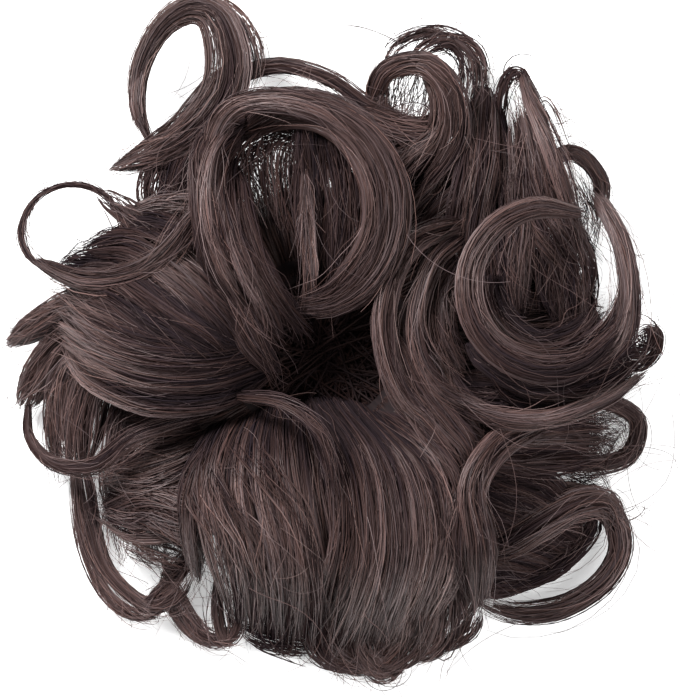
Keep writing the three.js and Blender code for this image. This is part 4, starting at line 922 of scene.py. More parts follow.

# Rows that only the scene has, by the tuft that they belong to
# Rows with a strongly negative shade lie under other locks and fill the gaps with painted shade.
EXTRAS = {
    "tall_loop": [
        extra(FLOW, [-0.5, -0.545, -0.54, -0.48, -0.39, -0.31, -0.272, -0.3, -0.39, -0.5, -0.62],
            [0.6, 0.7, 0.83, 0.95, 1.01, 0.98, 0.85, 0.73, 0.63, 0.57, 0.535],
            [0.4, 0.34, 0.3, 0.3, 0.34, 0.4, 0.5, 0.58, 0.56, 0.44, 0.3],
            [0.3, 0.35, 0.4, 0.45, 0.6, 0.8, 1, 1, 0.9, 0.7, 0.3], 0.8),
        extra(FLOW, [-0.42, -0.46, -0.485, -0.475], [0.6, 0.54, 0.47, 0.38], [0.4, 0.4, 0.36, 0.3],
            [0.8, 1, 1, 0.8], 0.8, shade=-0.1),
        extra(WISP, [-0.42, -0.3, -0.22, -0.19, -0.24], [1.03, 1.02, 0.95, 0.84, 0.7],
            [0.3, 0.34, 0.36, 0.4, 0.46], 0.3, 0.6, curl=0.3),
    ],
    "top_roll": [
        extra(FLOW, [-0.34, -0.32, -0.26, -0.15, 0, 0.12], [0.5, 0.63, 0.71, 0.73, 0.69, 0.58],
            [0.84, 0.86, 0.9, 0.97, 1, 0.96], [0.5, 0.5, 0.5, 0.6, 0.6, 0.4], 0.8),
        extra(FLOW, [-0.26, -0.32, -0.34, -0.325, -0.275, -0.19], [0.67, 0.58, 0.46, 0.34, 0.22, 0.08],
            [0.82, 0.92, 1, 1, 0.96, 0.76], [0.3, 0.4, 0.42, 0.42, 0.4, 0.3], 0.6, size=0.8, curl=0.3,
            light=[-0.2, 0, 0.08, 0.1, -0.05, -0.35]),
        extra(FLOW, [-0.28, -0.25, -0.205, -0.155, -0.12], [0.42, 0.3, 0.19, 0.1, 0.03],
            [0.94, 1, 0.96, 0.84, 0.7], [0.3, 0.42, 0.45, 0.4, 0.3], 0.6, size=0.8, curl=0.3,
            light=[-0.15, 0.08, 0.08, -0.15, -0.4]),
        extra(FLOW, [-0.05, -0.045, -0.035, -0.03], [0.52, 0.4, 0.28, 0.14], [0.84, 0.82, 0.78, 0.72],
            [0.3, 0.35, 0.35, 0.3], 0.6, size=0.5, shade=0.08, curl=0.2),
        extra(WISP, [-0.23, -0.24, -0.2, -0.12], [0.64, 0.55, 0.43, 0.28], [0.7, 0.56, 0.46, 0.5],
            [1, 1.2, 1.2, 0.8], density=0.1, shade=-0.2),
        extra(WISP, [-0.16, -0.18, -0.15, -0.08], [0.65, 0.56, 0.44, 0.28], [0.72, 0.6, 0.5, 0.5],
            [1, 1.2, 1.2, 0.8], density=0.1, shade=-0.15),
        extra(WISP, [-0.08, -0.1, -0.08, -0.03], [0.64, 0.54, 0.4, 0.22], [0.74, 0.64, 0.56, 0.5],
            [0.9, 1.2, 1.2, 0.8], shade=-0.1),
        extra(WISP, [-0.26, -0.23, -0.14, -0.04, 0.02], [0.48, 0.59, 0.635, 0.6, 0.5],
            [0.5, 0.58, 0.62, 0.6, 0.52], [0.5, 0.7, 0.8, 0.7, 0.5], 0.8, density=0.4, shade=-0.15,
            wave=0.8),
        extra(WISP, [-0.16, -0.19, -0.2, -0.18], [0.3, 0.42, 0.55, 0.68], [0.42, 0.26, 0.2, 0.2],
            [2, 2.4, 2.6, 2], density=0.08, shade=-0.3),
    ],
    "top_curl": [
        extra(WISP | AS_DRAWN, [0.29, 0.275, 0.26, 0.25], [0.83, 0.76, 0.68, 0.6], [0.46, 0.34, 0.34, 0.4],
            [1, 1.1, 1.1, 1], 0.8, density=0.3, thick=0.55, wave=0.2, curl=0.2, ragged=0.02, root=0.02,
            faint=0, free=0.9, light=0.2),
        extra(FLOW | AS_DRAWN, [0.33, 0.3, 0.28, 0.27], [0.64, 0.55, 0.46, 0.34], [0.3, 0.32, 0.32, 0.34],
            [1, 1.6, 1.6, 1.2], shade=-0.35, body=0.9, light=0),
        extra(WISP, [0.1, 0.2, 0.3, 0.38], [0.71, 0.665, 0.65, 0.67], [0.5, 0.5, 0.5, 0.46],
            [0.5, 0.8, 0.8, 0.5], 0.8, density=0.6),
        extra(WISP, [0.16, 0.2, 0.28, 0.36, 0.4], [0.5, 0.56, 0.6, 0.66, 0.74],
            [0.4, 0.44, 0.46, 0.46, 0.4], [1, 1.4, 1.4, 1, 0.6], density=0.6, shade=-0.15),
    ],
    "top_thin_loop": [
        extra(WISP, [0.18, 0.21, 0.3, 0.38, 0.45, 0.47, 0.45], [0.82, 0.895, 0.935, 0.92, 0.88, 0.8, 0.7],
            [0.4, 0.36, 0.3, 0.28, 0.26, 0.26, 0.3], [0.35, 0.35, 0.35, 0.3, 0.3, 0.3, 0.3], 0.5, curl=0.2,
            density=0.4, thick=0.8),
        extra(WISP, [0.28, 0.36, 0.41, 0.43, 0.42], [0.86, 0.9, 0.87, 0.8, 0.7],
            [0.42, 0.36, 0.32, 0.3, 0.3], [0.4, 0.4, 0.4, 0.35, 0.3], 0.5, curl=0.2, density=0.5,
            shade=-0.15),
        extra(SINGLE, [0.27, 0.2, 0.1, -0.04], [0.88, 0.92, 0.955, 0.96], [0.4, 0.38, 0.36, 0.34], 0.3, 0.4),
        extra(SINGLE, [0.19, 0.22, 0.3, 0.38], [0.83, 0.89, 0.935, 0.92], [0.4, 0.38, 0.36, 0.34], 0.3, 0.4),
        extra(SINGLE, [0.24, 0.32, 0.4, 0.46, 0.48], [0.9, 0.945, 0.93, 0.87, 0.76],
            [0.36, 0.34, 0.32, 0.3, 0.3], 0.3, 0.4, least=6),
    ],
    "right_peak": [
        extra(FLOW | AS_DRAWN, [0.59, 0.62, 0.66, 0.7, 0.73, 0.775], [0.82, 0.73, 0.64, 0.54, 0.44, 0.3],
            [0.3, 0.46, 0.56, 0.6, 0.56, 0.48], [0.3, 0.45, 0.45, 0.4, 0.35, 0.3], 0.8, shade=-0.05,
            curl=0.6, ragged=0.1),
        extra(FLOW | AS_DRAWN, [0.58, 0.585, 0.575, 0.575], [0.52, 0.38, 0.26, 0.08],
            [0.52, 0.54, 0.48, 0.42], [0.7, 0.8, 0.8, 0.5], 0.9, curl=0.8, ragged=0.2,
            light=[-0.2, 0, 0.12, 0.05, -0.3]),
        extra(FLOW | AS_DRAWN, [0.61, 0.65, 0.7, 0.77], [0.54, 0.41, 0.32, 0.2], [0.54, 0.54, 0.5, 0.42],
            [0.8, 1.1, 1.1, 0.6], 0.9, curl=1.5, ragged=0.2, density=0.8,
            light=[-0.1, 0.02, -0.05, -0.25, -0.45]),
        extra(FLOW | AS_DRAWN, [0.53, 0.52, 0.52, 0.55], [0.54, 0.4, 0.25, 0.06], [0.48, 0.5, 0.46, 0.42],
            [0.8, 1.1, 1.1, 0.8], curl=2, ragged=0.2, density=0.8, light=[-0.1, -0.25, -0.35, -0.4]),
        extra(FLOW | AS_DRAWN, [0.68, 0.71, 0.73, 0.75], [0.38, 0.3, 0.19, 0.05], [0.46, 0.44, 0.4, 0.38],
            [0.9, 1.4, 1.4, 0.9], curl=2, ragged=0.2, density=0.8, shade=-0.35),
        extra(WISP | AS_DRAWN, [0.52, 0.53, 0.56, 0.595, 0.61], [0.66, 0.76, 0.815, 0.8, 0.7],
            [0.3, 0.34, 0.36, 0.34, 0.3], 0.3, 0.5, curl=0.3, density=0.5, shade=-0.3),
        extra(WISP | AS_DRAWN, [0.72, 0.75, 0.765, 0.77], [0.53, 0.44, 0.36, 0.24], [0.36, 0.34, 0.32, 0.3],
            [0.8, 1, 1, 0.8], 0.6, density=0.25, thick=0.6, wave=0.8),
        extra(SINGLE, [0.63, 0.66, 0.69, 0.73], [0.72, 0.74, 0.7, 0.58], [0.3, 0.3, 0.3, 0.34], 0.5, 0.5,
            least=7, size=1.2),
    ],
    "right_swirl": [
        extra(FLOW, [0.8, 0.84, 0.885, 0.905, 0.87, 0.77], [0.46, 0.4, 0.3, 0.15, 0.02, -0.05],
            [0.4, 0.5, 0.56, 0.6, 0.62, 0.64], [0.35, 0.4, 0.45, 0.5, 0.7, 0.6], 0.7,
            light=[0.05, 0.1, 0.15, 0.05, -0.2, -0.35]),
        extra(WISP, [0.5, 0.6, 0.72, 0.84], [0.06, -0.01, -0.02, 0.06], [0.56, 0.6, 0.58, 0.5],
            [0.6, 0.9, 0.9, 0.6], 0.9, density=0.4, shade=-0.2),
    ],
    "left_fan": [
        extra(FLOW | INWARD, [-0.7, -0.57, -0.44, -0.32, -0.22], [0.29, 0.29, 0.21, 0.1, -0.02],
            [0.42, 0.62, 0.78, 0.86, 0.66], [0.7, 1.1, 1.2, 1, 0.6], 0.9, curl=1.5, ragged=0.15, wander=0.3,
            patchy=0.05, light=[-0.4, -0.3, 0, -0.35, -0.55]),
        extra(FLOW | INWARD, [-0.58, -0.47, -0.37, -0.28, -0.2], [0.37, 0.34, 0.24, 0.12, 0],
            [0.46, 0.6, 0.7, 0.72, 0.6], [0.7, 1.1, 1.2, 1, 0.6], 0.9, curl=1.5, ragged=0.15, wander=0.3,
            patchy=0.04, light=[-0.5, -0.4, -0.1, -0.4, -0.55]),
        extra(FLOW | INWARD, [-0.75, -0.62, -0.48, -0.35, -0.24], [0.2, 0.19, 0.1, 0.02, -0.04],
            [0.4, 0.64, 0.88, 0.9, 0.66], [0.7, 1.1, 1.2, 1, 0.6], 0.8, shade=-0.25, curl=1.5, ragged=0.15,
            wander=0.3),
        extra(WISP, [-0.36, -0.44, -0.52, -0.6, -0.7], [0.34, 0.35, 0.32, 0.28, 0.22],
            [0.5, 0.5, 0.44, 0.36, 0.26], [1, 1.2, 1.2, 1, 0.7], density=0.6, shade=-0.5, patchy=0.02,
            wave=0.8),
        extra(WISP, [-0.42, -0.52, -0.62, -0.72, -0.8], [0.29, 0.275, 0.25, 0.245, 0.25],
            [0.62, 0.6, 0.52, 0.44, 0.36], [0.8, 1, 0.9, 0.7, 0.4], 0.8, density=0.8, shade=-0.5,
            patchy=0.02, wave=0.6),
    ],
    "left_loop": [
        extra(THIN, [-0.62, -0.585, -0.54, -0.48], [0.435, 0.4, 0.36, 0.33], [0.48, 0.5, 0.52, 0.5],
            [0.25, 0.25, 0.3, 0.4], 0.4, body=0, shade=-0.25, faint=0.7, root=0.3),
        extra(WISP, [-0.66, -0.6, -0.55, -0.5], [0.46, 0.43, 0.395, 0.37], [0.5, 0.52, 0.54, 0.54],
            [0.3, 0.5, 0.6, 0.6], 0.4, density=0.25, shade=0),
        extra(WISP, [-0.84, -0.7, -0.56, -0.46, -0.38, -0.32], [0.26, 0.205, 0.22, 0.28, 0.38, 0.46],
            [0.48, 0.6, 0.76, 0.8, 0.84, 0.9], [0.3, 0.45, 0.45, 0.45, 0.4, 0.3], 0.5, density=0.5,
            curl=0.4, shade=0.05),
        extra(WISP, [-0.59, -0.5, -0.42, -0.28], [0.39, 0.42, 0.432, 0.44], [0.5, 0.54, 0.58, 0.62],
            [0.3, 0.4, 0.4, 0.3], 0.5, density=0.4, curl=0.6, shade=0.1),
    ],
    "right_crescent": [
        extra(FLOW, [0.2, 0.25, 0.34, 0.42, 0.44], [0.05, -0.1, -0.22, -0.33, -0.5],
            [0.78, 0.76, 0.74, 0.7, 0.6], [0.7, 0.9, 1, 1, 0.7], 0.9, shade=-0.1, wander=0.3),
        extra(FLOW, [0.3, 0.34, 0.42, 0.5], [0, -0.14, -0.24, -0.3], [0.6, 0.62, 0.6, 0.56],
            [1, 1.4, 1.6, 1.2], 0.9, shade=-0.25, wander=0.3, body=0.9),
        extra(FLOW, [0.36, 0.48, 0.6, 0.72], [-0.12, -0.15, -0.165, -0.16], [0.5, 0.5, 0.46, 0.4],
            [1, 1.5, 1.5, 1], 0.9, shade=-0.35, body=0.95),
        extra(FLOW, [0.5, 0.66, 0.8, 0.92], [-0.08, -0.115, -0.1, -0.02], [0.56, 0.56, 0.5, 0.36],
            [0.8, 1.1, 1.1, 0.8], 0.9, shade=-0.4, body=0.85, curl=1.5),
        extra(WISP, [0.86, 0.93, 0.975, 0.985, 0.95, 0.92], [-0.03, -0.04, -0.01, 0.04, 0.05, 0.02],
            [0.3, 0.3, 0.28, 0.26, 0.26, 0.28], [0.5, 0.4, 0.3, 0.3, 0.3, 0.3], 0.5, curl=0.3, density=0.6,
            shade=-0.3),
        extra(WISP, [0.86, 0.9, 0.95, 0.96, 0.93], [0.02, 0, 0.01, 0.05, 0.07],
            [0.34, 0.34, 0.32, 0.3, 0.3], [0.4, 0.3, 0.3, 0.3, 0.3], 0.5, curl=0.3, density=0.5, shade=-0.3),
        extra(SINGLE, [0.8, 0.88, 0.93, 0.955], [-0.47, -0.495, -0.48, -0.44], [0.3, 0.24, 0.2, 0.18], 0.3,
            0.4),
    ],
    "bottom_right_fan": [
        extra(FLOW | AS_DRAWN, [0.42, 0.54, 0.66, 0.74, 0.79, 0.8],
            [-0.7, -0.69, -0.65, -0.59, -0.52, -0.46], [0.2, 0.2, 0.18, 0.16, 0.16, 0.18],
            [0.5, 0.6, 0.6, 0.6, 0.6, 0.4], 0.9, shade=-0.35, body=0.9, curl=0.2, ragged=0.02),
        extra(FLOW, [0.48, 0.56, 0.66, 0.76, 0.84, 0.88], [-0.6, -0.57, -0.51, -0.46, -0.46, -0.52],
            [0.42, 0.44, 0.42, 0.36, 0.28, 0.24], [0.5, 0.7, 0.7, 0.7, 0.6, 0.4], 0.8, shade=-0.05,
            density=0.35, wander=0.4, curl=0.3),
    ],
    "bottom_fan_left": [
        extra(SMOOTH, [-0.27, -0.22, -0.17, -0.14, -0.13], [-0.27, -0.36, -0.48, -0.62, -0.78],
            [0.7, 0.88, 0.86, 0.74, 0.4], [1.2, 1.8, 2, 1.8, 1.4], 0.8, density=0.07,
            light=[-0.3, -0.1, 0.1, 0.1, -0.2]),
        extra(SMOOTH, [-0.34, -0.3, -0.27, -0.25], [-0.33, -0.43, -0.56, -0.76], [0.66, 0.8, 0.74, 0.4],
            [0.8, 1.4, 1.4, 1], 0.8, density=0.07, light=[-0.3, -0.1, 0.1, -0.2]),
        extra(WISP | SHORT, [-0.24, -0.16, -0.07, 0.02], [-0.82, -0.85, -0.87, -0.88],
            [0.14, 0.1, 0.08, 0.08], [0.4, 0.6, 0.6, 0.4], 0.6, density=0.5, shade=-0.25, curl=0.4),
    ],
    "bottom_fan_right": [
        extra(FLOW | SHORT, [0.01, 0.03, 0.04, 0.03], [-0.25, -0.5, -0.7, -0.88], [0.5, 0.46, 0.3, 0.1],
            [1.2, 1.8, 1.8, 1.5], 0.9, shade=-0.3, body=0.97),
        extra(FLOW | SHORT, [0.34, 0.39, 0.4, 0.38], [-0.35, -0.5, -0.66, -0.8], [0.5, 0.44, 0.3, 0.14],
            [1.2, 1.6, 1.6, 1.2], 0.9, shade=-0.15, body=0.9),
        extra(FLOW | SHORT, [0.12, 0.14, 0.13, 0.16, 0.21], [-0.6, -0.76, -0.86, -0.92, -0.95],
            [0.5, 0.34, 0.16, 0.1, 0.08], [1, 1.2, 1, 0.7, 0.4], 0.8, density=0.6, curl=1.2),
        extra(FLOW | SHORT, [0.24, 0.26, 0.24, 0.2, 0.16], [-0.6, -0.76, -0.86, -0.92, -0.945],
            [0.5, 0.34, 0.16, 0.1, 0.08], [1, 1.2, 1, 0.7, 0.4], 0.8, density=0.6, curl=1.2),
        extra(FLOW | SHORT, [0.32, 0.35, 0.34, 0.31, 0.26], [-0.6, -0.74, -0.83, -0.88, -0.9],
            [0.46, 0.3, 0.16, 0.1, 0.08], [0.9, 1, 0.9, 0.6, 0.4], 0.8, density=0.6, curl=1.2),
        extra(FLOW | SHORT, [0, 0.01, 0.03, 0.08, 0.12], [-0.66, -0.78, -0.87, -0.915, -0.92],
            [0.4, 0.26, 0.14, 0.1, 0.08], [0.9, 1, 0.9, 0.6, 0.4], 0.8, density=0.6, curl=1, shade=-0.2),
    ],
    "right_lower_loop": [
        extra(WISP, [0.74, 0.8, 0.86, 0.9], [-0.26, -0.24, -0.24, -0.26], [0.3, 0.24, 0.2, 0.16],
            [1.2, 1.3, 1.3, 0.8], 0.8, density=0.4, wave=1.2, thick=0.5),
        extra(WISP, [0.68, 0.74, 0.8, 0.86], [-0.36, -0.39, -0.4, -0.4], [0.3, 0.24, 0.2, 0.14],
            [0.8, 1, 1, 0.7], 0.8, density=0.4, wave=1.2, thick=0.5),
    ],
    "bottom_left_loop": [
        extra(FLOW | AS_DRAWN, [-0.73, -0.72, -0.69, -0.63, -0.55, -0.47],
            [-0.34, -0.5, -0.63, -0.735, -0.785, -0.775], [0.22, 0.16, 0.12, 0.1, 0.1, 0.12],
            [0.4, 0.35, 0.3, 0.3, 0.3, 0.3], 0.7, shade=0.1, size=0.5, curl=0.2, light=0),
    ],
    "left_nest": [
        extra(WISP, [-0.3, -0.4, -0.5, -0.6], [-0.16, -0.19, -0.2, -0.19], [0.5, 0.48, 0.44, 0.38],
            [0.8, 1.2, 1.2, 0.8], 0.9, density=0.8, shade=-0.25, body=0.9),
        extra(WISP, [-0.45, -0.53, -0.56, -0.55], [-0.42, -0.47, -0.54, -0.65], [0.36, 0.3, 0.24, 0.2],
            [1, 1.4, 1.6, 1.6], 0.9, density=0.22, thick=0.7, shade=0.1, wave=0.5, light=[0, 0.1]),
        extra(WISP, [-0.36, -0.42, -0.45, -0.44], [-0.44, -0.5, -0.56, -0.65], [0.36, 0.3, 0.24, 0.2],
            [1, 1.4, 1.6, 1.6], 0.9, density=0.22, thick=0.7, shade=0.1, wave=0.5, light=[0, 0.1]),
        extra(WISP, [-0.6, -0.52, -0.44, -0.34], [-0.55, -0.57, -0.6, -0.66], [0.3, 0.3, 0.3, 0.3],
            [0.6, 0.9, 0.9, 0.6], 0.9, density=0.25, thick=0.7, shade=0.1, wave=0.6, light=0),
        extra(WISP, [-0.64, -0.52, -0.4, -0.28], [-0.47, -0.45, -0.49, -0.5], [0.3, 0.44, 0.52, 0.56],
            [0.7, 1.2, 1.2, 0.7], 0.9, density=0.6),
        extra(WISP, [-0.3, -0.31, -0.29, -0.255, -0.25], [-0.62, -0.76, -0.85, -0.82, -0.68],
            [0.4, 0.22, 0.12, 0.14, 0.24], 0.3, 0.5, density=0.8, curl=0.3),
        extra(FLOW, [-0.48, -0.43, -0.36, -0.27], [-0.6, -0.72, -0.83, -0.87], [0.24, 0.16, 0.12, 0.1],
            [0.3, 0.35, 0.35, 0.3], 0.6, density=0.7, size=0.6, curl=0.2),
        extra(FLOW, [-0.36, -0.42, -0.49, -0.52], [-0.58, -0.66, -0.73, -0.78], [0.3, 0.2, 0.16, 0.12],
            [0.3, 0.35, 0.35, 0.3], 0.6, density=0.7, size=0.6, curl=0.2, shade=-0.2),
    ],
    "bottom_curls": [
        extra(WISP, [-0.05, -0.02, 0.04, 0.12, 0.2, 0.27], [-0.8, -0.88, -0.92, -0.93, -0.9, -0.82],
            [0.14, 0.1, 0.08, 0.08, 0.1, 0.16], [0.4, 0.5, 0.5, 0.5, 0.5, 0.4], 0.6, density=0.3, curl=0.6),
        extra(WISP, [0.12, 0.15, 0.19, 0.23, 0.24], [-0.9, -0.95, -0.965, -0.93, -0.86],
            [0.1, 0.08, 0.08, 0.08, 0.12], 0.3, 0.5, curl=0.3),
        extra(WISP, [0.46, 0.43, 0.37, 0.32], [-0.76, -0.83, -0.87, -0.87], [0.2, 0.12, 0.1, 0.1],
            [0.4, 0.4, 0.4, 0.3], 0.5, density=0.6, curl=0.4),
        extra(SINGLE, [0.12, 0.17, 0.22, 0.24], [-0.93, -0.965, -0.94, -0.87], [0.1, 0.08, 0.08, 0.1], 0.3,
            0.4, least=8),
        extra(SINGLE, [0.45, 0.42, 0.36, 0.33], [-0.78, -0.84, -0.88, -0.86], [0.14, 0.1, 0.08, 0.1], 0.3,
            0.4, least=8),
        extra(SINGLE, [-0.05, -0.02, 0.02, 0.06], [-0.86, -0.92, -0.935, -0.9], [0.14, 0.1, 0.08, 0.1], 0.3,
            0.4, least=6),
    ],
}

drawn_sheets = []
for node, rows in TUFTS.items():
    tuft_style = PLAIN | STYLES.get(node, {})
    sheets = []
    for group in SHEETS.get(node, [[i] for i in range(len(rows))]):
        style = tuft_style | ROW_STYLES.get((node, group[0]), {})
        sheets.append(([rows[i] for i in group], style))
    sheets += [([row], tuft_style | row["style"]) for row in EXTRAS.get(node, [])]
    parts, bodies = [], []
    for sheet_rows, style in sheets:
        sheet = sheet_of(sheet_rows, style)
        drawn_sheets.append(sheet)
        path, half, outward, tone = strands_of(sheet, style)
        near, *rooted = with_roots(path, half, outward, tone)
        parts.append(ribbons(*rooted))
        free_ends = path[~near], half[~near], outward[~near], tone[~near]
        parts.append(ribbons(*(turned_under(*free_ends) if style["under"] else free_ends)))
        count = round(style["flyaways"] * len(sheet_rows) * FLYAWAYS_PER_ROW)
        parts.append(ribbons(*flyaways_of(sheet, style, count)))
        if style["body"]:
            bodies.append(body_of_sheet(sheet, style["begin"], style["body"]))
    strands = mesh_object(f"{node}_hair", parts, HAIR)
    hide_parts(node)
    if bodies:
        mesh_object(f"{node}_underhair", bodies, UNDERHAIR_SHADE)


def turns(count):
    """Angles once round, in equal steps."""
    return 2 * np.pi * np.arange(count) / count


def round_axis(r, angle, z):
    """Points at a distance from the hole's axis, an angle about it and a height."""
    return np.stack(np.broadcast_arrays(r * np.cos(angle), r * np.sin(angle), z), axis=-1)


def round_part(verts, angle, along):
    """A skin that closes on itself round the axis and round its section."""
    at = np.arange(verts.shape[0] * verts.shape[1]).reshape(verts.shape[:2])
    beside, above = np.roll(at, -1, axis=0), np.roll(at, -1, axis=1)
    quads = np.stack([at, beside, np.roll(beside, -1, axis=1), above], axis=-1)
    tone = np.broadcast_to(angle[:, None] / (2 * np.pi), at.shape)
    return part_of(verts, quads, tone, np.broadcast_to(along, at.shape))


def turned(profile, sides, name, material):
    """A closed profile of (radius, height) points turned about the hole's axis."""
    profile = np.array(profile, dtype=float)
    angle = turns(sides)
    verts = round_axis(profile[:, 0], angle[:, None], profile[:, 1])
    return mesh_object(name, [round_part(verts, angle, np.linspace(0, 1, len(profile)))], material)


cord_radius = CORD_THICKNESS / 2
cord_middle = HOLE_RADIUS + cord_radius
widest = cord_middle + cord_radius + WEFT_AROUND
weft_top = WEFT_UNDER + CORD_THICKNESS + WEFT_OVER
ridge = (cord_middle + widest) / 2
WEFT_PROFILE = [
    (cord_middle + 1.5, 0.3),
    (widest - WEFT_FOOT_INSET, 0.3),
    (widest, weft_top * 0.3),
    (widest, weft_top * 0.6),
    ((widest + ridge) / 2, weft_top * 0.92),
    (ridge, weft_top),
    ((cord_middle + ridge) / 2, weft_top * 0.94),
    (cord_middle + 0.5, weft_top * 0.72),
    (cord_middle + cord_radius + 0.4, weft_top * 0.45),
    (cord_middle + cord_radius + 0.4, WEFT_UNDER + 1),
]

# The band: an elastic cord in a gathered knitted cover.
BAND_SIDES, BAND_SECTION = 240, 16
GATHERS = [(0.22, 61, 0.0), (0.16, 97, 1.3)]  # height in mm, how many go round, and phase
angle = turns(BAND_SIDES)
around = turns(BAND_SECTION)
gathers = sum(high * np.sin(number * angle + phase)[:, None] for high, number, phase in GATHERS)
gathers = gathers * (0.6 + 0.4 * np.sin(around[None] + 5 * angle[:, None]))
r = cord_radius - 0.35 + gathers
cord_height = WEFT_UNDER + cord_radius
cover = round_axis(cord_middle + r * np.cos(around), angle[:, None], cord_height + r * np.sin(around))
BAND = body_material("band_cover", (0.012, 0.010, 0.010), (0.030, 0.023, 0.023), 0.12)
band = mesh_object("elastic_band_cover", [round_part(cover, angle, around / (2 * np.pi))], BAND)
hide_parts("elastic_band")

# The wefts: hair wound over a ring, from its flat foot over the top and back.
# The wefts' hair is darker than the tufts': painted shade under the tufts.
COOL_DARK = [(0.0, (0.006, 0.005, 0.006)), (0.5, (0.018, 0.011, 0.011)), (1.0, (0.045, 0.028, 0.026))]
WARM_DARK = [(0.0, (0.008, 0.005, 0.005)), (0.5, (0.024, 0.012, 0.010)), (1.0, (0.055, 0.027, 0.022))]
WEFT = strand_material("weft_strands", COOL_DARK, WARM_DARK, 0.55, 0.3)
loop = np.array(WEFT_PROFILE + WEFT_PROFILE[:1])
gone = np.concatenate([[0], np.cumsum(np.linalg.norm(np.diff(loop, axis=0), axis=1))])
s = np.linspace(0, 1, 15)
profile_r, profile_z = (np.interp(s * gone[-1], gone, values) for values in loop.T)
begin = rng.uniform(0, 2 * np.pi, WRAPS)
swirl = rng.normal(0.25, 0.18, WRAPS)
angle = begin[:, None] + swirl[:, None] * s[None]
bulge = 1 + rng.uniform(-0.01, 0.035, WRAPS)[:, None]
path = round_axis(profile_r[None] * bulge, angle, profile_z[None] * bulge)
half = np.full(angle.shape, 2 * STRAND_HALF)
tone = np.broadcast_to((0.5 + rng.normal(0, 0.2, WRAPS))[:, None], angle.shape)
weft_parts = [ribbons(path, half, path - round_axis(ridge, angle, 0.5 * weft_top), tone)]

# Dark strands that cross the hole low down; their darkness is painted shade for the deep hole.
begin = rng.uniform(0, 2 * np.pi, CROSSING)
across = begin + rng.uniform(0.5, 1.5, CROSSING) * np.pi
s = np.linspace(0, 1, 8)[None]
first = round_axis(cord_middle + 1, begin, 0)[:, None, :2]
last = round_axis(cord_middle + 1, across, 0)[:, None, :2]
flat = first * (1 - s[..., None]) + last * s[..., None]
flat = flat + rng.normal(0, 4.0, (CROSSING, 1, 2)) * np.sin(np.pi * s)[..., None]
height = rng.uniform(6, 20, CROSSING)[:, None] - 6 * np.sin(np.pi * s)
path = np.concatenate([flat, np.maximum(height, 1.0)[..., None]], axis=-1)
half = np.full(height.shape, 1.6 * STRAND_HALF)
tone = np.broadcast_to(rng.normal(0.24, 0.06, (CROSSING, 1)), height.shape)
weft_parts.append(ribbons(path, half, np.broadcast_to(UP, path.shape), tone))

# Short loose strands that hang from the wefts' outer side.
begin = rng.uniform(0, 2 * np.pi, HANGING)[:, None]
s = np.linspace(0, 1, 7)[None]
angle = begin + rng.normal(0, 0.18, (HANGING, 1)) * s
r = widest - 0.5 + rng.uniform(3, 11, (HANGING, 1)) * s**0.8
drop = rng.uniform(0.75, 1.0, (HANGING, 1)) * s**1.5
height = rng.uniform(5, 0.6 * weft_top, (HANGING, 1)) * (1 - drop)
half = STRAND_HALF * (1.1 - s) * np.ones((HANGING, 1))
tone = rng.normal(0.6, 0.15, (HANGING, 1)) * np.ones(half.shape)
weft_parts.append(ribbons(round_axis(r, angle, height), half, round_axis(1, angle, 0.6), tone))
weft = mesh_object("weft_base_hair", weft_parts, WEFT)
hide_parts("weft_base")
# A body inside the wefts, dark with painted shade like the sheets' bodies.
inside = np.array(WEFT_PROFILE) * [1, 0.985] + [0, 0.25]
weft_body = turned(inside, 96, "weft_base_underhair", UNDERHAIR_SHADE)

# The wefts' flat seams under the piece, with their zigzag stitches, in mm.
SEAM_WIDTH, SEAM_UNDERSIDE, SEAM_TOP = 2.6, 0.05, 0.25
THREAD_WIDTH, THREAD_UNDERSIDE, THREAD_TOP = 0.24, 0.02, 0.16
ZIGZAG_LENGTH = 4.8
THREAD, _, thread_shader = new_material("thread")
set_inputs(thread_shader, {"Base Color": (0.03, 0.02, 0.018, 1), "Roughness": 0.7})
seam_first, seam_last = cord_middle + 3.5, widest - WEFT_FOOT_INSET - 1.5
for number, middle in enumerate(np.linspace(seam_first, seam_last, 3), 1):
    inner, outer = middle - SEAM_WIDTH / 2, middle + SEAM_WIDTH / 2
    edge = [(inner, SEAM_UNDERSIDE), (outer, SEAM_UNDERSIDE), (outer, SEAM_TOP), (inner, SEAM_TOP)]
    turned(edge, 128, f"weft_seam_{number}", BAND)
    zigs = 4 * round(2 * np.pi * middle / ZIGZAG_LENGTH)
    angle = 2 * np.pi * np.arange(zigs + 1) / zigs
    r = middle + 0.36 * SEAM_WIDTH * np.array([0, 1, 0, -1])[np.arange(zigs + 1) % 4]
    left, right = r - THREAD_WIDTH / 2, r + THREAD_WIDTH / 2
    corners = [(left, THREAD_UNDERSIDE), (left, THREAD_TOP), (right, THREAD_TOP), (right, THREAD_UNDERSIDE)]
    verts = np.stack([round_axis(far, angle, high) for far, high in corners], axis=1)
    at = np.arange(verts.shape[0] * 4).reshape(-1, 4)
    after = np.roll(at, -1, axis=1)
    quads = np.stack([at[:-1], at[1:], after[1:], after[:-1]], axis=-1)
    stitches = part_of(verts, quads, np.zeros(at.shape), np.zeros(at.shape))
    mesh_object(f"weft_stitches_{number}", [stitches], THREAD)

# Lone strands over the tufts and round their outline.
lone_parts = [
    ribbons(*lone_strands(drawn_sheets, LONE_OVER, (12, 36), 30.0, 0.0)),
    ribbons(*lone_strands(drawn_sheets, LONE_ROUND, (4, 11), 0.72 * HAIR_RADIUS, 0.5)),
]
mesh_object("lone_strands", lone_parts, HAIR)

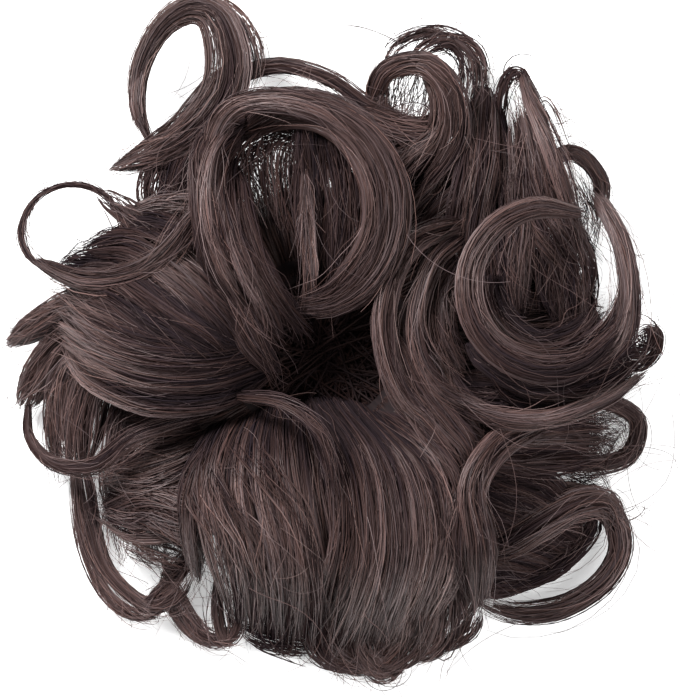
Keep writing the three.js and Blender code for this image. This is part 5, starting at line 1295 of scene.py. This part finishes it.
# The floor, the light and the camera.
floor_mesh = bpy.data.meshes.new("floor")
floor_mesh.from_pydata([(-3, -3, 0), (3, -3, 0), (3, 3, 0), (-3, 3, 0)], [], [(0, 1, 2, 3)])
floor = bpy.data.objects.new("floor", floor_mesh)
bpy.context.scene.collection.objects.link(floor)
floor_material, _, floor_shader = new_material("floor")
set_inputs(floor_shader, {"Base Color": (0.9, 0.9, 0.9, 1), "Roughness": 0.9})
set_inputs(floor_shader, {"Emission Color": (1, 1, 1, 1), "Emission Strength": 0.42})
floor_mesh.materials.append(floor_material)

world = bpy.data.worlds.new("studio")
world.use_nodes = True
set_inputs(world.node_tree.nodes["Background"], {"Color": (1, 1, 1, 1), "Strength": 0.33})
bpy.context.scene.world = world


def area_light(name, place, size, power):
    """A round lamp, with its place and size in m and its power in W, that shines at the origin."""
    light = bpy.data.lights.new(name, "AREA")
    light.shape = "DISK"
    light.size = size
    light.energy = power
    lamp = bpy.data.objects.new(name, light)
    lamp.location = place
    aim = -np.array(place)
    lamp.rotation_euler = (
        math.atan2(math.hypot(aim[0], aim[1]), -aim[2]),
        0,
        math.atan2(aim[1], aim[0]) - math.pi / 2,
    )
    bpy.context.scene.collection.objects.link(lamp)


area_light("key", (-0.6, 0.7, 0.95), 0.5, 38)
area_light("fill", (0.7, -0.3, 0.9), 0.6, 11)

PHOTO_WIDTH = 160.0  # what the photograph shows from left to right, mm
PHOTO_MIDDLE = (4.235, 0.118)  # the photograph's middle, in mm from the hole's middle
CAMERA_HEIGHT = 3.0  # m
SCALE_HEIGHT = 0.024  # the height at which PHOTO_WIDTH is measured, m
SENSOR_WIDTH = 36.0
camera_data = bpy.data.cameras.new("camera")
camera_data.sensor_fit = "HORIZONTAL"
camera_data.sensor_width = SENSOR_WIDTH
camera_data.lens = SENSOR_WIDTH * (CAMERA_HEIGHT - SCALE_HEIGHT) / (PHOTO_WIDTH * MM)
camera_data.clip_end = 20.0
camera = bpy.data.objects.new("camera", camera_data)
camera.location = (*(ORIGIN[:2] + PHOTO_MIDDLE) * MM, CAMERA_HEIGHT)
bpy.context.scene.collection.objects.link(camera)
bpy.context.scene.camera = camera
bpy.context.scene.view_settings.view_transform = "Standard"
